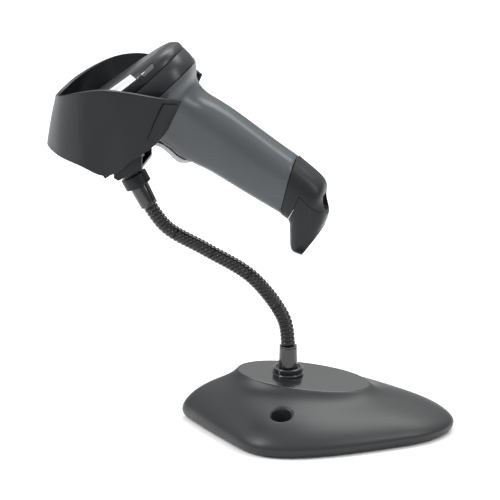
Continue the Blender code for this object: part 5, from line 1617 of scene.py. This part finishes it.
    def end(self) -> None:
        """The end cap, the smooth foot let into it, and the cable's port."""
        form = self.placed(Form.loft(list(self.rings(self.butt, 10))))
        line = [(x * MM, z * MM, r * MM) if r else (x * MM, z * MM) for x, z, r in self.foot_line]
        outline = np.array(rounded(line, 6))
        wide = 40 * MM
        foot_room, foot_form = (self.placed(Form.prism(ring, -wide, wide))
                                for ring in (self.grown(outline, GAP), outline))
        half, wall, depth, behind = self.port_half, self.port_wall, self.port_depth, -14 * MM
        room = self.port_block((half[0] + wall + GAP, half[1] + wall + GAP), behind, depth + GAP, 1.2 * MM)
        cap = Blank("cap", form).cut(foot_room, room)
        cap.done(self.finishes.cap, Body.SCANNER, "end_cap", sharp=40.0)
        foot = Blank("foot", form).cut(foot_form, operation="INTERSECT").cut(room)
        foot.done(self.finishes.foot, Body.SCANNER, "butt_foot", sharp=40.0)
        body = self.port_block((half[0] + wall, half[1] + wall), -0.5 * MM, depth, 1.0 * MM)
        port = Blank("port", body).eased(0.25 * MM, 60.0, 2)
        port.cut(self.port_block(half, behind, depth - wall, 0.6 * MM))
        port.done(self.finishes.port, Body.SCANNER, "cable_port")

    @staticmethod
    def grown(outline: np.ndarray, distance: float) -> np.ndarray:
        """An outline grown all round.

        Args: outline: (x, z). distance: how far.
        Returns: the larger outline.
        """
        before, after = outline - np.roll(outline, 1, axis=0), np.roll(outline, -1, axis=0) - outline
        area = np.sum(outline[:, 0] * np.roll(outline[:, 1], -1) - outline[:, 1] * np.roll(outline[:, 0], -1))
        sign = -1.0 if area > 0 else 1.0
        normals = []
        for edge in (before, after):
            edge = edge / np.linalg.norm(edge, axis=1)[:, None]
            normals.append(sign * np.stack([-edge[:, 1], edge[:, 0]], axis=1))
        middle = normals[0] + normals[1]
        middle /= (1 + np.sum(normals[0] * normals[1], axis=1))[:, None]
        return outline + distance * middle

    def build(self) -> None:
        """Makes the grip."""
        self.halves()
        self.trigger()
        self.end()


# ---- the studio ----------------------------------------------------------------------
@dataclass
class Studio:
    """The pale floor, the soft lights and the camera."""

    aim: tuple[float, float, float] = (-5.5 * MM, 27.9 * MM, 110.3 * MM)
    azimuth: float = 10.0
    elevation: float = 16.5
    distance: float = 2.6
    lens: float = 279.4
    sky: tuple[float, ...] = (0.05, 0.65, 0.3, 1.15)
    # name, azimuth, elevation, distance, size, power
    lights: tuple[tuple[Any, ...], ...] = (
        ("overhead", 165.0, 58.0, 1.2, (1.2, 0.5), 9.0), ("left", -62.0, 40.0, 1.2, (0.22, 0.8), 8.0),
        ("right", 75.0, 34.0, 1.3, (0.3, 0.7), 4.0))
    middle: tuple[float, float, float] = (0.0, 0.0, 0.12)

    def toward(self, azimuth: float, elevation: float) -> Vector:
        """The direction of a place round the object.

        Args: its angles in degrees.
        Returns: a unit vector.
        """
        a, e = math.radians(azimuth), math.radians(elevation)
        return Vector((math.sin(a) * math.cos(e), -math.cos(a) * math.cos(e), math.sin(e)))

    def camera(self) -> None:
        """Sets the camera."""
        data = bpy.data.cameras.new("camera")
        data.lens = self.lens
        data.sensor_width = 36.0
        data.clip_end = 50.0
        camera = bpy.data.objects.new("camera", data)
        bpy.context.scene.collection.objects.link(camera)
        aim = Vector(self.aim)
        camera.location = aim + self.distance * self.toward(self.azimuth, self.elevation)
        camera.rotation_euler = (aim - camera.location).to_track_quat("-Z", "Y").to_euler()
        bpy.context.scene.camera = camera

    def light(self, name: str, azimuth: float, elevation: float, distance: float, size: tuple[float, float],
              power: float) -> None:
        """Adds a soft box.

        Args: name: its name. azimuth, elevation, distance: its place. size, power: its own.
        """
        data = bpy.data.lights.new(name, "AREA")
        data.shape = "RECTANGLE"
        data.size, data.size_y = size
        data.energy = power
        lamp = bpy.data.objects.new(name, data)
        bpy.context.scene.collection.objects.link(lamp)
        middle = Vector(self.middle)
        lamp.location = middle + distance * self.toward(azimuth, elevation)
        lamp.rotation_euler = (middle - lamp.location).to_track_quat("-Z", "Y").to_euler()

    def floor(self) -> None:
        """Adds the floor and the pale surroundings."""
        form = Form.box((-8.0, -8.0, -0.02), (8.0, 8.0, 0.0))
        plane = Blank("floor", form).obj
        material = bpy.data.materials.new("floor")
        graph = Graph(material)
        graph.shade(Base_Color=(0.93, 0.93, 0.93, 1.0), Roughness=0.9, Specular_IOR_Level=0.1)
        plane.data.materials.append(material)
        world = bpy.data.worlds.new("studio")
        world.use_nodes = True
        nodes, links = world.node_tree.nodes, world.node_tree.links
        place, split = nodes.new("ShaderNodeTexCoord"), nodes.new("ShaderNodeSeparateXYZ")
        rise = nodes.new("ShaderNodeMapRange")
        for socket, value in zip(("From Min", "From Max", "To Min", "To Max"), self.sky):
            rise.inputs[socket].default_value = value
        links.new(place.outputs["Generated"], split.inputs[0])
        links.new(split.outputs["Z"], rise.inputs["Value"])
        links.new(rise.outputs["Result"], nodes["Background"].inputs["Strength"])
        nodes["Background"].inputs["Color"].default_value = (1.0, 1.0, 1.0, 1.0)
        bpy.context.scene.world = world

    def build(self) -> None:
        """Sets up the studio."""
        scene = bpy.context.scene
        scene.view_settings.view_transform = "Standard"
        self.camera()
        self.floor()
        for light in self.lights:
            self.light(*light)


def main() -> None:
    """Builds every part in order."""
    logging.basicConfig(level=logging.INFO, format="%(name)s: %(message)s")
    Studio().build()
    layout = Layout(foot_axis())
    finishes = Finishes(layout.axis_x)
    neck = Neck(layout, finishes)
    head = Head(layout, finishes)
    base, cup, grip = Base(layout, finishes), Cup(layout, finishes, neck), Grip(layout, finishes, head)
    for part in (base, neck, cup, head, grip):
        part.build()


if __name__ == "__main__":
    main()
